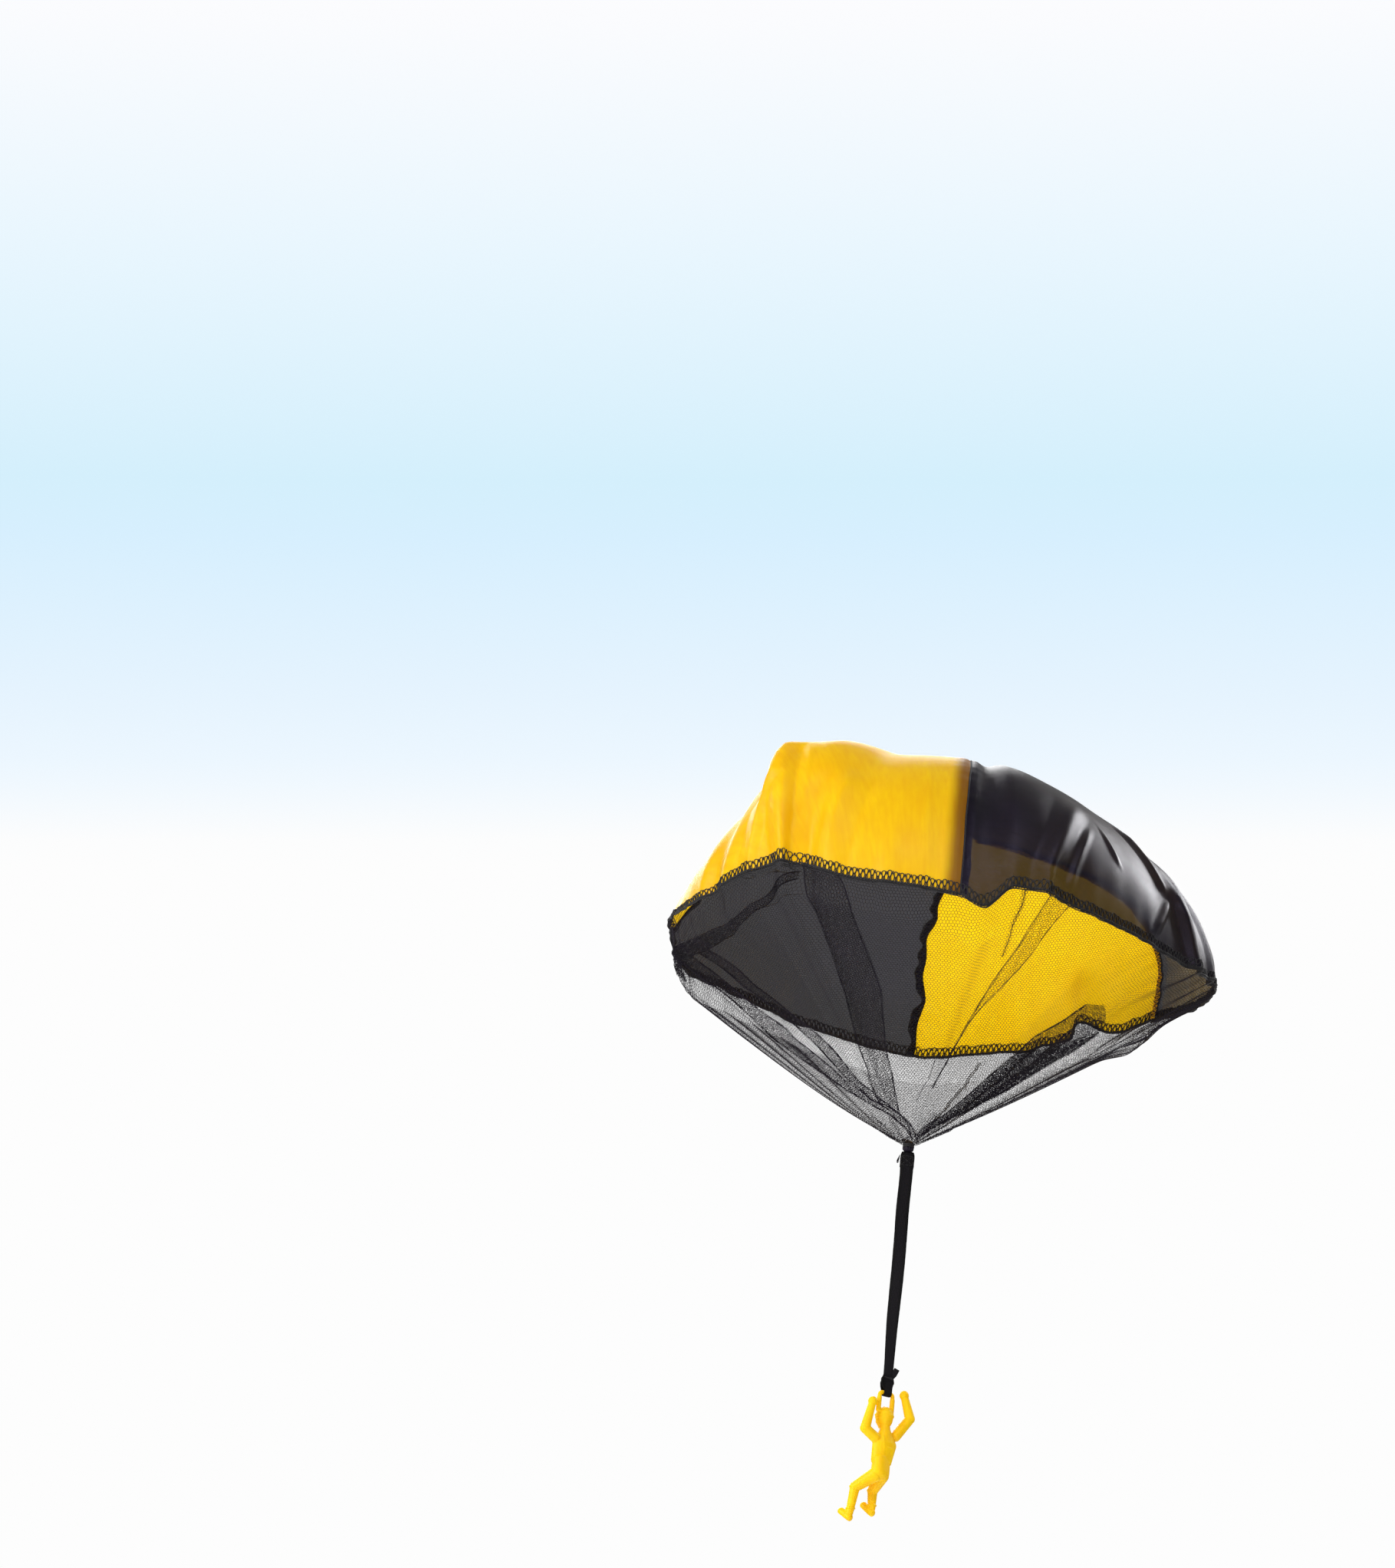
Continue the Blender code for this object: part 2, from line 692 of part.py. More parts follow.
# Half width, depth and height of the body at each place, as shares of the figure's height.
body_shares = {
    "head": (0.065, 0.066, 0.082),
    "helmet": (0.066, 0.069, 0.066),
    "throat": (0.035, 0.035, 0.040),
    "nape": (0.043, 0.037, 0.028),
    "collar": (0.046, 0.038, 0.030),
    "chest": (0.098, 0.062, 0.060),
    "waist": (0.084, 0.057, 0.054),
    "hips": (0.085, 0.062, 0.060),
    "shoulder": (0.039, 0.039, 0.039),
    "elbow": (0.036, 0.036, 0.036),
    "wrist": (0.020, 0.022, 0.023),
    "hand": (0.031, 0.027, 0.031),
    "hip": (0.053, 0.053, 0.053),
    "knee": (0.039, 0.039, 0.039),
    "shin": (0.038, 0.038, 0.038),
    "ankle": (0.028, 0.030, 0.030),
    "heel": (0.031, 0.031, 0.031),
    "toe": (0.028, 0.028, 0.027),
}


def place_of(name):
    return ring_centre + Vector(figure_place_shares[name]) * figure_height


def ball(shaping, centre, shares, turn):
    """An ellipsoid turned round the upright, to be fused with its neighbours."""
    made = bmesh.ops.create_icosphere(shaping, subdivisions=3, radius=figure_height)
    stretch = Matrix.Translation(centre) @ Matrix.Rotation(turn, 4, "Z")
    stretch = stretch @ Matrix.Diagonal((*shares, 1))
    bmesh.ops.transform(shaping, matrix=stretch, verts=made["verts"])


def limb(shaping, start, end, start_body, end_body, turn, balls=7):
    """A tapered run of ellipsoids from one place to the next."""
    first, last = body_shares[start_body], body_shares[end_body]
    for k in range(balls + 1):
        way = k / balls
        ball(shaping, start.lerp(end, way), [a + (b - a) * way for a, b in zip(first, last)], turn)


def add_limbs(shaping):
    turn, hips_turn = figure_turn, figure_hips_turn
    head, neck, chest = place_of("head"), place_of("neck"), place_of("chest")
    waist, hips = place_of("waist"), place_of("hips")
    ball(shaping, head, body_shares["head"], turn)
    ball(shaping, head + Vector((0, 0, helmet_rise)), body_shares["helmet"], turn)
    limb(shaping, head, neck, "throat", "nape", turn)
    limb(shaping, neck, chest, "collar", "chest", turn)
    limb(shaping, chest, waist, "chest", "waist", turn)
    limb(shaping, waist, hips, "waist", "hips", hips_turn)
    for side in ("left", "right"):
        shoulder, elbow, hand = [place_of(side + part) for part in ("_shoulder", "_elbow", "_hand")]
        limb(shaping, shoulder, elbow, "shoulder", "elbow", turn)
        limb(shaping, elbow, hand, "elbow", "wrist", turn)
        ball(shaping, hand, body_shares["hand"], turn)
        hip, knee, ankle = [place_of(side + part) for part in ("_hip", "_knee", "_ankle")]
        heel, toe = place_of(side + "_heel"), place_of(side + "_toe")
        limb(shaping, hip, knee, "hip", "knee", hips_turn)
        limb(shaping, knee, ankle, "shin", "ankle", hips_turn)
        limb(shaping, heel, toe, "heel", "toe", hips_turn)


def add_helper(name, points, faces):
    """A cutter or an addition for a Boolean, which isn't a piece."""
    mesh = bpy.data.meshes.new(name)
    mesh.from_pydata([tuple(point - ring_centre) for point in points], [], faces)
    shaping = bmesh.new()
    shaping.from_mesh(mesh)
    bmesh.ops.recalc_face_normals(shaping, faces=shaping.faces)
    shaping.to_mesh(mesh)
    shaping.free()
    helper = bpy.data.objects.new(name, mesh)
    helper.parent = ring_axis
    helper.hide_render = True
    helper.display_type = "WIRE"
    bpy.context.scene.collection.objects.link(helper)
    return helper


def ring_route():
    """Sideways and upward places along the middle of the helmet ring's wire, down into the helmet."""
    foot, low = figure_height * ring_foot_share, -figure_height * ring_height_share
    route = [(-foot, low)]
    for start, middle in ((180, ring_corner - ring_half_width), (90, ring_half_width - ring_corner)):
        for k in range(4):
            angle = math.radians(start - 30 * k)
            route.append((middle + ring_corner * math.cos(angle), ring_corner * (math.sin(angle) - 1)))
    return route + [(foot, low)]


def add_ring():
    """The wire of the helmet ring, whose bar is the figure's joint axis."""
    side, ahead = turned(figure_turn)
    route = [ring_centre + side * x + Vector((0, 0, z)) for x, z in ring_route()]
    sides = 12
    loops = []
    for i, place in enumerate(route):
        along = (route[min(i + 1, len(route) - 1)] - route[max(i - 1, 0)]).normalized()
        across = along.cross(ahead).normalized()
        loop = []
        for k in range(sides):
            angle = 2 * math.pi * k / sides
            loop.append(place + (ahead * math.cos(angle) + across * math.sin(angle)) * ring_wire)
        loops.append(loop)
    return add_helper("ring_form", *loft(loops))


def sole_normal(side):
    along = (place_of(side + "_toe") - place_of(side + "_heel")).normalized()
    return (along * along.z - Vector((0, 0, 1))).normalized(), along


def add_sole_cutter(side):
    """A block under one boot, which cuts its sole flat."""
    normal, along = sole_normal(side)
    across = normal.cross(along)
    face = place_of(side + "_heel") + normal * sole_depth
    points = []
    for depth in (0, sole_cutter_size):
        for x, y in ((-1, -1), (1, -1), (1, 1), (-1, 1)):
            points.append(face + normal * depth + (along * x + across * y) * sole_cutter_size)
    faces = [(0, 1, 2, 3), (7, 6, 5, 4)]
    faces += [(i, (i + 1) % 4, (i + 1) % 4 + 4, i + 4) for i in range(4)]
    return add_helper(side + "_sole_cutter", points, faces)


def add_figure():
    mesh = bpy.data.meshes.new("figure")
    shaping = bmesh.new()
    add_limbs(shaping)
    bmesh.ops.translate(shaping, vec=-ring_centre, verts=shaping.verts)
    shaping.to_mesh(mesh)
    shaping.free()
    mesh.materials.append(finish_material("figure", figure_yellow, 0.4))
    figure = bpy.data.objects.new("figure", mesh)
    figure.parent = ring_axis
    bpy.context.scene.collection.objects.link(figure)
    fuse = figure.modifiers.new("fuse", "REMESH")
    fuse.mode = "VOXEL"
    fuse.voxel_size = remesh_size
    fuse.use_smooth_shade = True
    soften = figure.modifiers.new("soften", "SMOOTH")
    soften.factor = 0.5
    soften.iterations = 5
    thin = figure.modifiers.new("thin", "DECIMATE")
    thin.ratio = figure_face_share
    joined = figure.modifiers.new("ring", "BOOLEAN")
    joined.operation = "UNION"
    joined.object = add_ring()
    for side in ("left", "right"):
        cut = figure.modifiers.new(side + "_sole", "BOOLEAN")
        cut.operation = "DIFFERENCE"
        cut.object = add_sole_cutter(side)


add_figure()
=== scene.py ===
import json
import math

import bmesh
import bpy
import numpy as np
from mathutils import Matrix, Vector

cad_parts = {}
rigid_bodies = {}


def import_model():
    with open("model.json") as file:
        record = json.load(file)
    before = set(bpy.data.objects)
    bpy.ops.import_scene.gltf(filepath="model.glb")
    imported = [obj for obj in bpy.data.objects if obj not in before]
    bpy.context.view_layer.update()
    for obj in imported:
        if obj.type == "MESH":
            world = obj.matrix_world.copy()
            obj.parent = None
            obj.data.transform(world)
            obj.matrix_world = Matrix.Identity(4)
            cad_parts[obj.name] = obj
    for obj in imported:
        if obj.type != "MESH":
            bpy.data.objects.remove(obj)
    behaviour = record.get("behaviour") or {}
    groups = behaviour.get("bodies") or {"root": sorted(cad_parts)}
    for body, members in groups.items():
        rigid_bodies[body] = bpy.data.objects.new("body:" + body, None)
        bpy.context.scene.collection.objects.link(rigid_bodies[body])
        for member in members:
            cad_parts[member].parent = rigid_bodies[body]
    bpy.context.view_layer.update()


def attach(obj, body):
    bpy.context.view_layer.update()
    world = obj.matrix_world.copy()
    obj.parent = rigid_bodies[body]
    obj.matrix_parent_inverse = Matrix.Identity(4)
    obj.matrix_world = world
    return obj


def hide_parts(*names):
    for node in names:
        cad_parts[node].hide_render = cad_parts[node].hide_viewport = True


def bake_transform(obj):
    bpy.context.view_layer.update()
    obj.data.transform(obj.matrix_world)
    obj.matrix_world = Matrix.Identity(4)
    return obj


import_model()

mm = 0.001


def linear(hexColour):
    parts = [int(hexColour[i:i + 2], 16) / 255 for i in (1, 3, 5)]
    return [p / 12.92 if p <= 0.04045 else ((p + 0.055) / 1.055) ** 2.4 for p in parts] + [1.0]


def node(tree, kind, inputs=None, **settings):
    made = tree.nodes.new("ShaderNode" + kind)
    for name, value in settings.items():
        setattr(made, name, value)
    for place, value in (inputs or {}).items():
        if isinstance(value, bpy.types.NodeSocket):
            tree.links.new(value, made.inputs[place])
        else:
            made.inputs[place].default_value = value
    return made


def maths(tree, operation, *values):
    return node(tree, "Math", dict(enumerate(values)), operation=operation).outputs[0]


def mapped(tree, value, low, high, newLow, newHigh):
    return node(tree, "MapRange", {0: value, 1: low, 2: high, 3: newLow, 4: newHigh}).outputs[0]


def noise(tree, place, scale, detail, roughness=0.5):
    made = node(tree, "TexNoise", {"Vector": place, "Scale": scale, "Detail": detail, "Roughness": roughness})
    return made.outputs["Fac"]


def bumped(tree, height, strength, distance):
    return node(tree, "Bump", {"Height": height, "Strength": strength, "Distance": distance}).outputs[0]


def ramp(tree, factor, stops):
    made = node(tree, "ValToRGB", {"Fac": factor})
    elements = made.color_ramp.elements
    while len(elements) < len(stops):
        elements.new(0.5)
    for element, (place, colour) in zip(elements, stops):
        element.position = place
        element.color = linear(colour)
    return made.outputs["Color"]


def startMaterial(name):
    material = bpy.data.materials.new(name)
    material.use_nodes = True
    material.node_tree.nodes.clear()
    return material, material.node_tree


def finishMaterial(material, shader):
    node(material.node_tree, "OutputMaterial", {0: shader.outputs[0]})
    return material


# Camera, backdrop and lamps

cameraView = {
    "place": (-0.00609, -1.832, -0.73155),
    "right": (0.99349, 0.03456, 0.10851),
    "up": (-0.08713, -0.38281, 0.91971),
    "lens": 80.71,
    "sensor": 36,  # millimetres, along the taller side of the picture
    "nearest": 0.05,
}
backdrop = {
    # how far up the picture, as the sine of the angle from its middle, then the colour there
    "sky": [(-1.0, "#FDFDFD"), (-0.017, "#FDFDFD"), (0.005, "#EDF7FF"), (0.027, "#E5F3FE"), (0.070, "#D7EFFE"),
            (0.085, "#D4EFFC"), (0.15, "#E9F6FE"), (0.216, "#FCFCFE"), (1.0, "#FCFCFE")],
    "skyLight": 0.28,
    "floorHeight": -1.05,
    "floorSize": 9,
    "floorColour": "#F1F1F0",
    "floorRoughness": 0.9,
}
lamps = {
    # place, where it points, size in metres, watts
    "leftSoftbox": ((-1.2, -0.85, 0.05), (0, 0, -0.15), 1.1, 20.5),
    "leftBackSoftbox": ((-0.5, 1.25, 0.68), (0, 0, -0.05), 1.2, 27),
    "frontSoftbox": ((0.3, -1.45, 1.0), (0, 0, -0.12), 0.4, 9),
    "rightBackSoftbox": ((0.95, 0.7, 0.85), (0, 0, -0.05), 0.5, 13),
    "lowFrontSoftbox": ((0.3, -1.15, -0.6), (-0.01, -0.03, -0.3), 0.5, 2.6),
}


def addCamera():
    right, up = Vector(cameraView["right"]).normalized(), Vector(cameraView["up"]).normalized()
    back = right.cross(up).normalized()
    data = bpy.data.cameras.new("productCamera")
    data.sensor_fit = "AUTO"
    data.sensor_width = cameraView["sensor"]
    data.lens = cameraView["lens"]
    data.clip_start = cameraView["nearest"]
    camera = bpy.data.objects.new("productCamera", data)
    turn = Matrix((right, back.cross(right), back)).transposed()
    camera.matrix_world = Matrix.Translation(cameraView["place"]) @ turn.to_4x4()
    bpy.context.scene.collection.objects.link(camera)
    bpy.context.scene.camera = camera


def addBackdrop():
    world = bpy.data.worlds.new("paleBackdrop")
    bpy.context.scene.world = world
    world.use_nodes = True
    tree = world.node_tree
    tree.nodes.clear()
    direction = node(tree, "TexCoord").outputs["Generated"]
    height = node(tree, "VectorMath", {0: direction, 1: cameraView["up"]}, operation="DOT_PRODUCT").outputs["Value"]
    share = mapped(tree, height, -1.0, 1.0, 0.0, 1.0)
    sky = ramp(tree, share, [((place + 1) / 2, colour) for place, colour in backdrop["sky"]])
    seen = node(tree, "Background", {0: sky, 1: 1.0})
    lit = node(tree, "Background", {0: (1.0, 1.0, 1.0, 1.0), 1: backdrop["skyLight"]})
    rays = node(tree, "LightPath").outputs
    some = maths(tree, "MAXIMUM", rays["Is Camera Ray"], rays["Is Transmission Ray"])
    mixed = node(tree, "MixShader", {0: some, 1: lit.outputs[0], 2: seen.outputs[0]})
    node(tree, "OutputWorld", {0: mixed.outputs[0]})

    # A painted paper floor, matt and nearly white, which keeps the shadow
    material, tree = startMaterial("paleFloorPaper")
    colour, roughness = linear(backdrop["floorColour"]), backdrop["floorRoughness"]
    finishMaterial(material, node(tree, "BsdfPrincipled", {"Base Color": colour, "Roughness": roughness}))
    bpy.ops.object.select_all(action="DESELECT")
    bpy.ops.mesh.primitive_plane_add(size=backdrop["floorSize"], location=(0, 0, backdrop["floorHeight"]))
    floor = bpy.context.active_object
    floor.name = "studioFloor"
    floor.data.materials.append(material)


def addLamps():
    for name, (place, target, size, watts) in lamps.items():
        data = bpy.data.lights.new(name, "AREA")
        data.size = size
        data.energy = watts
        lamp = bpy.data.objects.new(name, data)
        aim = (Vector(target) - Vector(place)).to_track_quat("-Z", "Y")
        lamp.matrix_world = Matrix.Translation(place) @ aim.to_matrix().to_4x4()
        bpy.context.scene.collection.objects.link(lamp)


addCamera()
addBackdrop()
addLamps()
bpy.context.scene.view_settings.view_transform = "Standard"
print("camera, backdrop and lamps are set")


# Meshes made in code

def unit(v):
    return v / np.maximum(np.linalg.norm(v, axis=-1, keepdims=True), 1e-12)


def smoothStep(v):
    h = np.clip(v, 0, 1)
    return h * h * (3 - 2 * h)


def wander(x, y, sines):
    # a smooth irregular wave from a few sines: wavelengths along x and y, then a phase
    total = 0
    for alongX, alongY, phase in sines:
        total = total + np.sin(2 * np.pi * (x / alongX + y / alongY) + phase)
    return total / len(sines)


def meshFrom(name, points, faces, material, uv=None):
    mesh = bpy.data.meshes.new(name)
    points, faces = np.asarray(points, float).reshape(-1, 3), np.asarray(faces)
    mesh.vertices.add(len(points))
    mesh.vertices.foreach_set("co", points.ravel())
    mesh.loops.add(faces.size)
    mesh.loops.foreach_set("vertex_index", faces.ravel().astype(np.int32))
    mesh.polygons.add(len(faces))
    mesh.polygons.foreach_set("loop_start", (np.arange(len(faces)) * faces.shape[1]).astype(np.int32))
    mesh.update(calc_edges=True)
    if uv is not None:
        layer = mesh.uv_layers.new(name="flatCut")
        layer.data.foreach_set("uv", np.asarray(uv, float)[faces.ravel()].ravel())
    mesh.shade_smooth()
    mesh.materials.append(material)
    piece = bpy.data.objects.new(name, mesh)
    bpy.context.scene.collection.objects.link(piece)
    return piece


def gridFaces(columns, rows, start=0, wrap=False):
    i, j = np.meshgrid(np.arange(columns if wrap else columns - 1), np.arange(rows - 1), indexing="ij")
    a, b = i * rows + j, ((i + 1) % columns) * rows + j
    return np.stack([a, a + 1, b + 1, b], -1).reshape(-1, 4) + start


def weld(piece, distance=1e-6):
    shaping = bmesh.new()
    shaping.from_mesh(piece.data)
    bmesh.ops.remove_doubles(shaping, verts=shaping.verts, dist=distance)
    bmesh.ops.recalc_face_normals(shaping, faces=shaping.faces)
    shaping.to_mesh(piece.data)
    shaping.free()


def lengthAlong(route):
    return np.concatenate([[0], np.cumsum(np.linalg.norm(np.diff(route, axis=0), axis=1))])


def threads(name, routes, radius, material, sides=4):
    # round threads along routes of points; the UV is in millimetres along, and turns around
    points, faces, uv, start = [], [], [], 0
    turns = np.linspace(0, 2 * np.pi, sides, endpoint=False)
    for route in routes:
        route = np.asarray(route, float)
        ahead = unit(np.roll(route, -1, 0) - np.roll(route, 1, 0))
        ahead[0], ahead[-1] = unit(route[1] - route[0]), unit(route[-1] - route[-2])
        side = np.cross(ahead[0], [0.3, 0.5, 0.81])  # any direction that no thread runs in
        frames = []
        for direction in ahead:
            side = unit(side - direction * np.dot(side, direction))
            frames.append((side, np.cross(direction, side)))
        frames = np.array(frames)
        ring = (frames[:, None, 0] * np.cos(turns)[None, :, None]
                + frames[:, None, 1] * np.sin(turns)[None, :, None])
        ring = route[:, None] + ring * radius
        count = len(route)
        i, j = np.meshgrid(np.arange(count - 1), np.arange(sides), indexing="ij")
        beside = (j + 1) % sides
        corners = [i * sides + j, (i + 1) * sides + j, (i + 1) * sides + beside, i * sides + beside]
        faces.append(np.stack(corners, -1).reshape(-1, 4) + start)
        points.append(ring.reshape(-1, 3))
        uv.append(np.stack([np.repeat(lengthAlong(route) / mm, sides), np.tile(turns / (2 * np.pi), count)], -1))
        start += count * sides
    return meshFrom(name, np.concatenate(points), np.concatenate(faces), material, np.concatenate(uv))


def joinPieces(first, *others):
    bpy.ops.object.select_all(action="DESELECT")
    for piece in (first, *others):
        piece.select_set(True)
    bpy.context.view_layer.objects.active = first
    bpy.ops.object.join()


def turned(x, y, degrees):
    c, s = math.cos(math.radians(degrees)), math.sin(math.radians(degrees))
    return x * c - y * s, x * s + y * c


def curve(t, start, leave, end, arrive):
    # between two values, with the slope at each
    return ((2 * t**3 - 3 * t**2 + 1) * start + (t**3 - 2 * t**2 + t) * leave
            + (3 * t**2 - 2 * t**3) * end + (t**3 - t**2) * arrive)


# The canopy's surface: where its cloth lies, by azimuth and share of the way from crown to hem

canopyShape = {
    "rimRadius": 0.149,
    "crownHeight": 0.091,
    "crownSide": 0.0065,
    "crownBack": 0.025,
    "leanShare": 0.6,
    "slope": 190,  # about how many millimetres the cloth runs from crown to hem
    "foldWidth": 0.014,
    "foldHeight": 0.006,
    # azimuth, then hem radius and lift, wall radius and height, shoulder radius and height, as shares
    "stations": [
        (0, 1.0, 0.05, 0.975, 0.59, 0.59, 1.03), (18, 1.0, 0.1, 1.05, 0.735, 0.595, 1.04),
        (37, 1.02, 0.17, 1.15, 1.0, 0.68, 1.06), (47, 1.0, 0.13, 1.08, 0.88, 0.55, 1.06),
        (54, 0.98, 0.19, 1.05, 0.84, 0.5, 1.06), (58.5, 1.0, 0.13, 1.05, 0.8, 0.5, 1.06),
        (68, 1.0, 0.09, 1.05, 0.8, 0.5, 1.06), (80, 1.0, 0.045, 1.03, 0.8, 0.5, 1.06),
        (94, 1.0, 0.0, 1.0, 0.8, 0.5, 1.05), (135, 1.0, 0.1, 1.05, 0.8, 0.5, 1.06),
        (165, 1.0, 0.05, 1.0, 0.65, 0.55, 1.06), (180, 1.0, 0.12, 0.845, 0.6, 0.565, 1.07),
        (206, 1.0, 0.03, 1.045, 0.57, 0.465, 1.115), (236.5, 1.0, 0.09, 1.105, 1.2, 0.68, 1.135),
        (250, 1.0, -0.03, 1.015, 1.03, 0.51, 1.25), (272.5, 1.0, -0.11, 0.975, 1.027, 0.453, 1.278),
        (277.5, 1.0, -0.16, 0.97, 0.985, 0.45, 1.255), (283, 1.0, -0.02, 1.01, 0.975, 0.465, 1.247),
        (303, 0.97, -0.06, 0.99, 0.855, 0.5, 1.156), (331, 0.96, -0.08, 0.985, 0.625, 0.524, 1.063),
    ],
    # azimuth and share of the way down where a fold starts and ends, then width and height shares
    "folds": [
        (225, 0.32, 237, 1.0, 0.9, 1.15), (222, 0.55, 214, 1.0, 0.9, -0.6), (243, 0.72, 240, 1.0, 0.6, -0.5),
        (300, 0.62, 290, 0.95, 0.7, 0.7), (322, 0.60, 336, 1.0, 0.8, 0.9), (346, 0.70, 352, 1.0, 0.6, -0.6),
        (55, 0.75, 54, 1.0, 0.9, -0.8), (75, 0.60, 70, 1.0, 1.0, 0.6), (118, 0.55, 124, 1.0, 1.1, 0.5),
        (150, 0.60, 147, 1.0, 0.9, -0.5),
    ],
    # azimuth, how deep the cloth puckers beside it and how far it strays sideways, in millimetres
    "seams": [(272.5, 0.15, 0.3), (397, 0.42, 1.2), (454, 0.42, 2.8), (540, 0.42, 1.2)],
    # fine creases that stand on the folds: azimuth and share at both ends, half width and height in mm
    "creases": [
        (262, 0.55, 266, 0.98, 4.0, 0.5), (255, 0.70, 251, 0.98, 3.6, 0.4), (341, 0.62, 351, 0.98, 2.6, -1.0),
        (352, 0.55, 358, 0.96, 3.4, 0.9), (196, 0.5, 192, 0.98, 4.5, 0.6),
        (46, 0.7, 44, 0.99, 3.0, -0.7), (70, 0.5, 64, 0.99, 4.0, 0.7), (84, 0.6, 80, 0.99, 3.4, -0.6),
        (105, 0.55, 110, 0.98, 4.2, 0.7), (140, 0.5, 143, 0.98, 4.0, 0.7), (165, 0.6, 168, 0.98, 3.6, -0.6),
    ],
    # sharp folds, as in cloth that was pressed flat: millimetres to the left and right foot, height,
    # then azimuth and share along the line
    "sharpFolds": [
        (9.0, 5.0, 3.0, [(231.5, 0.58), (232.5, 0.79), (229, 0.84), (228, 0.92), (226.5, 1.0)]),
        (5.0, 4.0, -2.8, [(232.5, 0.60), (235.8, 0.73), (237.2, 0.82), (238, 0.9), (238.5, 1.0)]),
        (2.6, 2.2, -1.3, [(240, 0.83), (239.2, 0.884), (238.4, 0.93)]),
        (7.0, 12.0, 2.3, [(247, 0.70), (246, 0.85), (245, 1.0)]),
        (5.0, 9.0, 2.8, [(308, 0.57), (317, 0.631), (321.5, 0.733), (325, 0.83)]),
        (2.2, 2.6, 1.3, [(304.5, 0.70), (306.4, 0.774), (308.8, 0.84)]),
        (3.4, 3.6, 1.9, [(302, 0.74), (298.2, 0.847), (296.4, 0.908), (295, 0.98)]),
        (3.0, 3.0, -1.6, [(293.5, 0.88), (291.8, 0.959), (290.5, 1.0)]),
        (4.0, 5.0, 2.4, [(327, 0.78), (328.6, 0.839), (331.8, 0.935), (334.8, 1.0)]),
        (4.0, 4.5, 2.3, [(327.4, 0.80), (323.2, 0.884), (319.2, 0.97)]),
        (6.0, 4.0, 2.3, [(336, 0.55), (343, 0.75), (348, 1.0)]),
    ],
}


def floats(*values):
    return np.broadcast_arrays(*[np.asarray(value, float) for value in values])


def stationValues(azimuth):
    rows = np.array(canopyShape["stations"], float)
    turns, count = rows[:, 0], len(rows)
    azimuth = np.mod(azimuth, 360)
    index = np.searchsorted(turns, azimuth, side="right") - 1
    near = []
    for k in (-1, 0, 1, 2):
        laps, row = np.divmod(index + k, count)
        near.append((turns[row] + 360 * laps, rows[row, 1:]))
    (t0, a), (t1, b), (t2, c), (t3, d) = near
    span = (t2 - t1)[..., None]
    leave = (c - a) / (t2 - t0)[..., None] * span
    arrive = (d - b) / (t3 - t1)[..., None] * span
    return curve((azimuth - t1)[..., None] / span, b, leave, c, arrive)


def outFrom(azimuth):
    a = np.radians(azimuth)
    return np.stack([np.cos(a), np.sin(a), np.zeros_like(a)], -1)


def plainCanopy(azimuth, share):
    azimuth, share = floats(azimuth, share)
    s = canopyShape
    hemR, hemZ, wallR, wallZ, shoulderR, shoulderZ = np.moveaxis(stationValues(azimuth), -1, 0)
    out, up = outFrom(azimuth), np.array([0, 0, s["crownHeight"]])
    middle = np.array([-s["crownSide"], -s["crownBack"], -s["crownHeight"]])
    lean = np.array([s["crownSide"], s["crownBack"], 0]) * s["leanShare"]

    def at(r, z):
        return middle + out * (r * s["rimRadius"])[..., None] + up * z[..., None]

    t, rest = share[..., None], 1 - share[..., None]
    return ((at(shoulderR, shoulderZ) + lean) * 3 * rest**2 * t + at(wallR, wallZ) * 3 * rest * t**2
            + at(hemR, hemZ) * t**3)


def outward(surface, azimuth, share, turn=1.0, step=0.01):
    along = surface(azimuth, np.minimum(1.0, share + step)) - surface(azimuth, share - step)
    across = surface(azimuth + turn, share) - surface(azimuth - turn, share)
    return unit(np.cross(along, across))


def apart(azimuth, centre):
    return np.mod(azimuth - centre + 180, 360) - 180


def foldRise(azimuth, share):
    rise = 0
    for startAz, start, endAz, end, width, height in canopyShape["folds"]:
        way = (share - start) / (end - start)
        centre = startAz + (endAz - startAz) * np.clip(way, 0, 1)
        beside = np.radians(np.abs(apart(azimuth, centre))) * canopyShape["rimRadius"] * share
        reach = beside / (canopyShape["foldWidth"] * width)
        rise = rise + canopyShape["foldHeight"] * height * smoothStep(way * 2) * (1 - smoothStep(reach))
    return rise


def canopy(azimuth, share):
    azimuth, share = floats(azimuth, share)
    rise = foldRise(azimuth, share)[..., None]
    return plainCanopy(azimuth, share) + outward(plainCanopy, azimuth, share) * rise


tableTurns = np.arange(0, 361, 1.0)
tablePoints = canopy(tableTurns[:, None], np.linspace(0, 1, 60)[None, :])
tableLengths = np.linalg.norm(np.diff(tablePoints, axis=1), axis=-1).sum(1)


def meridian(azimuth):
    # how long the cloth is from crown to hem
    return np.interp(np.mod(azimuth, 360), tableTurns, tableLengths)


def besideLine(azimuth, centre, share):
    # millimetres sideways from a line that runs down the cloth
    widening = np.sin(np.clip(share, 0, 1) * np.pi / 2)
    return np.radians(apart(azimuth, centre)) * canopyShape["rimRadius"] * widening / mm


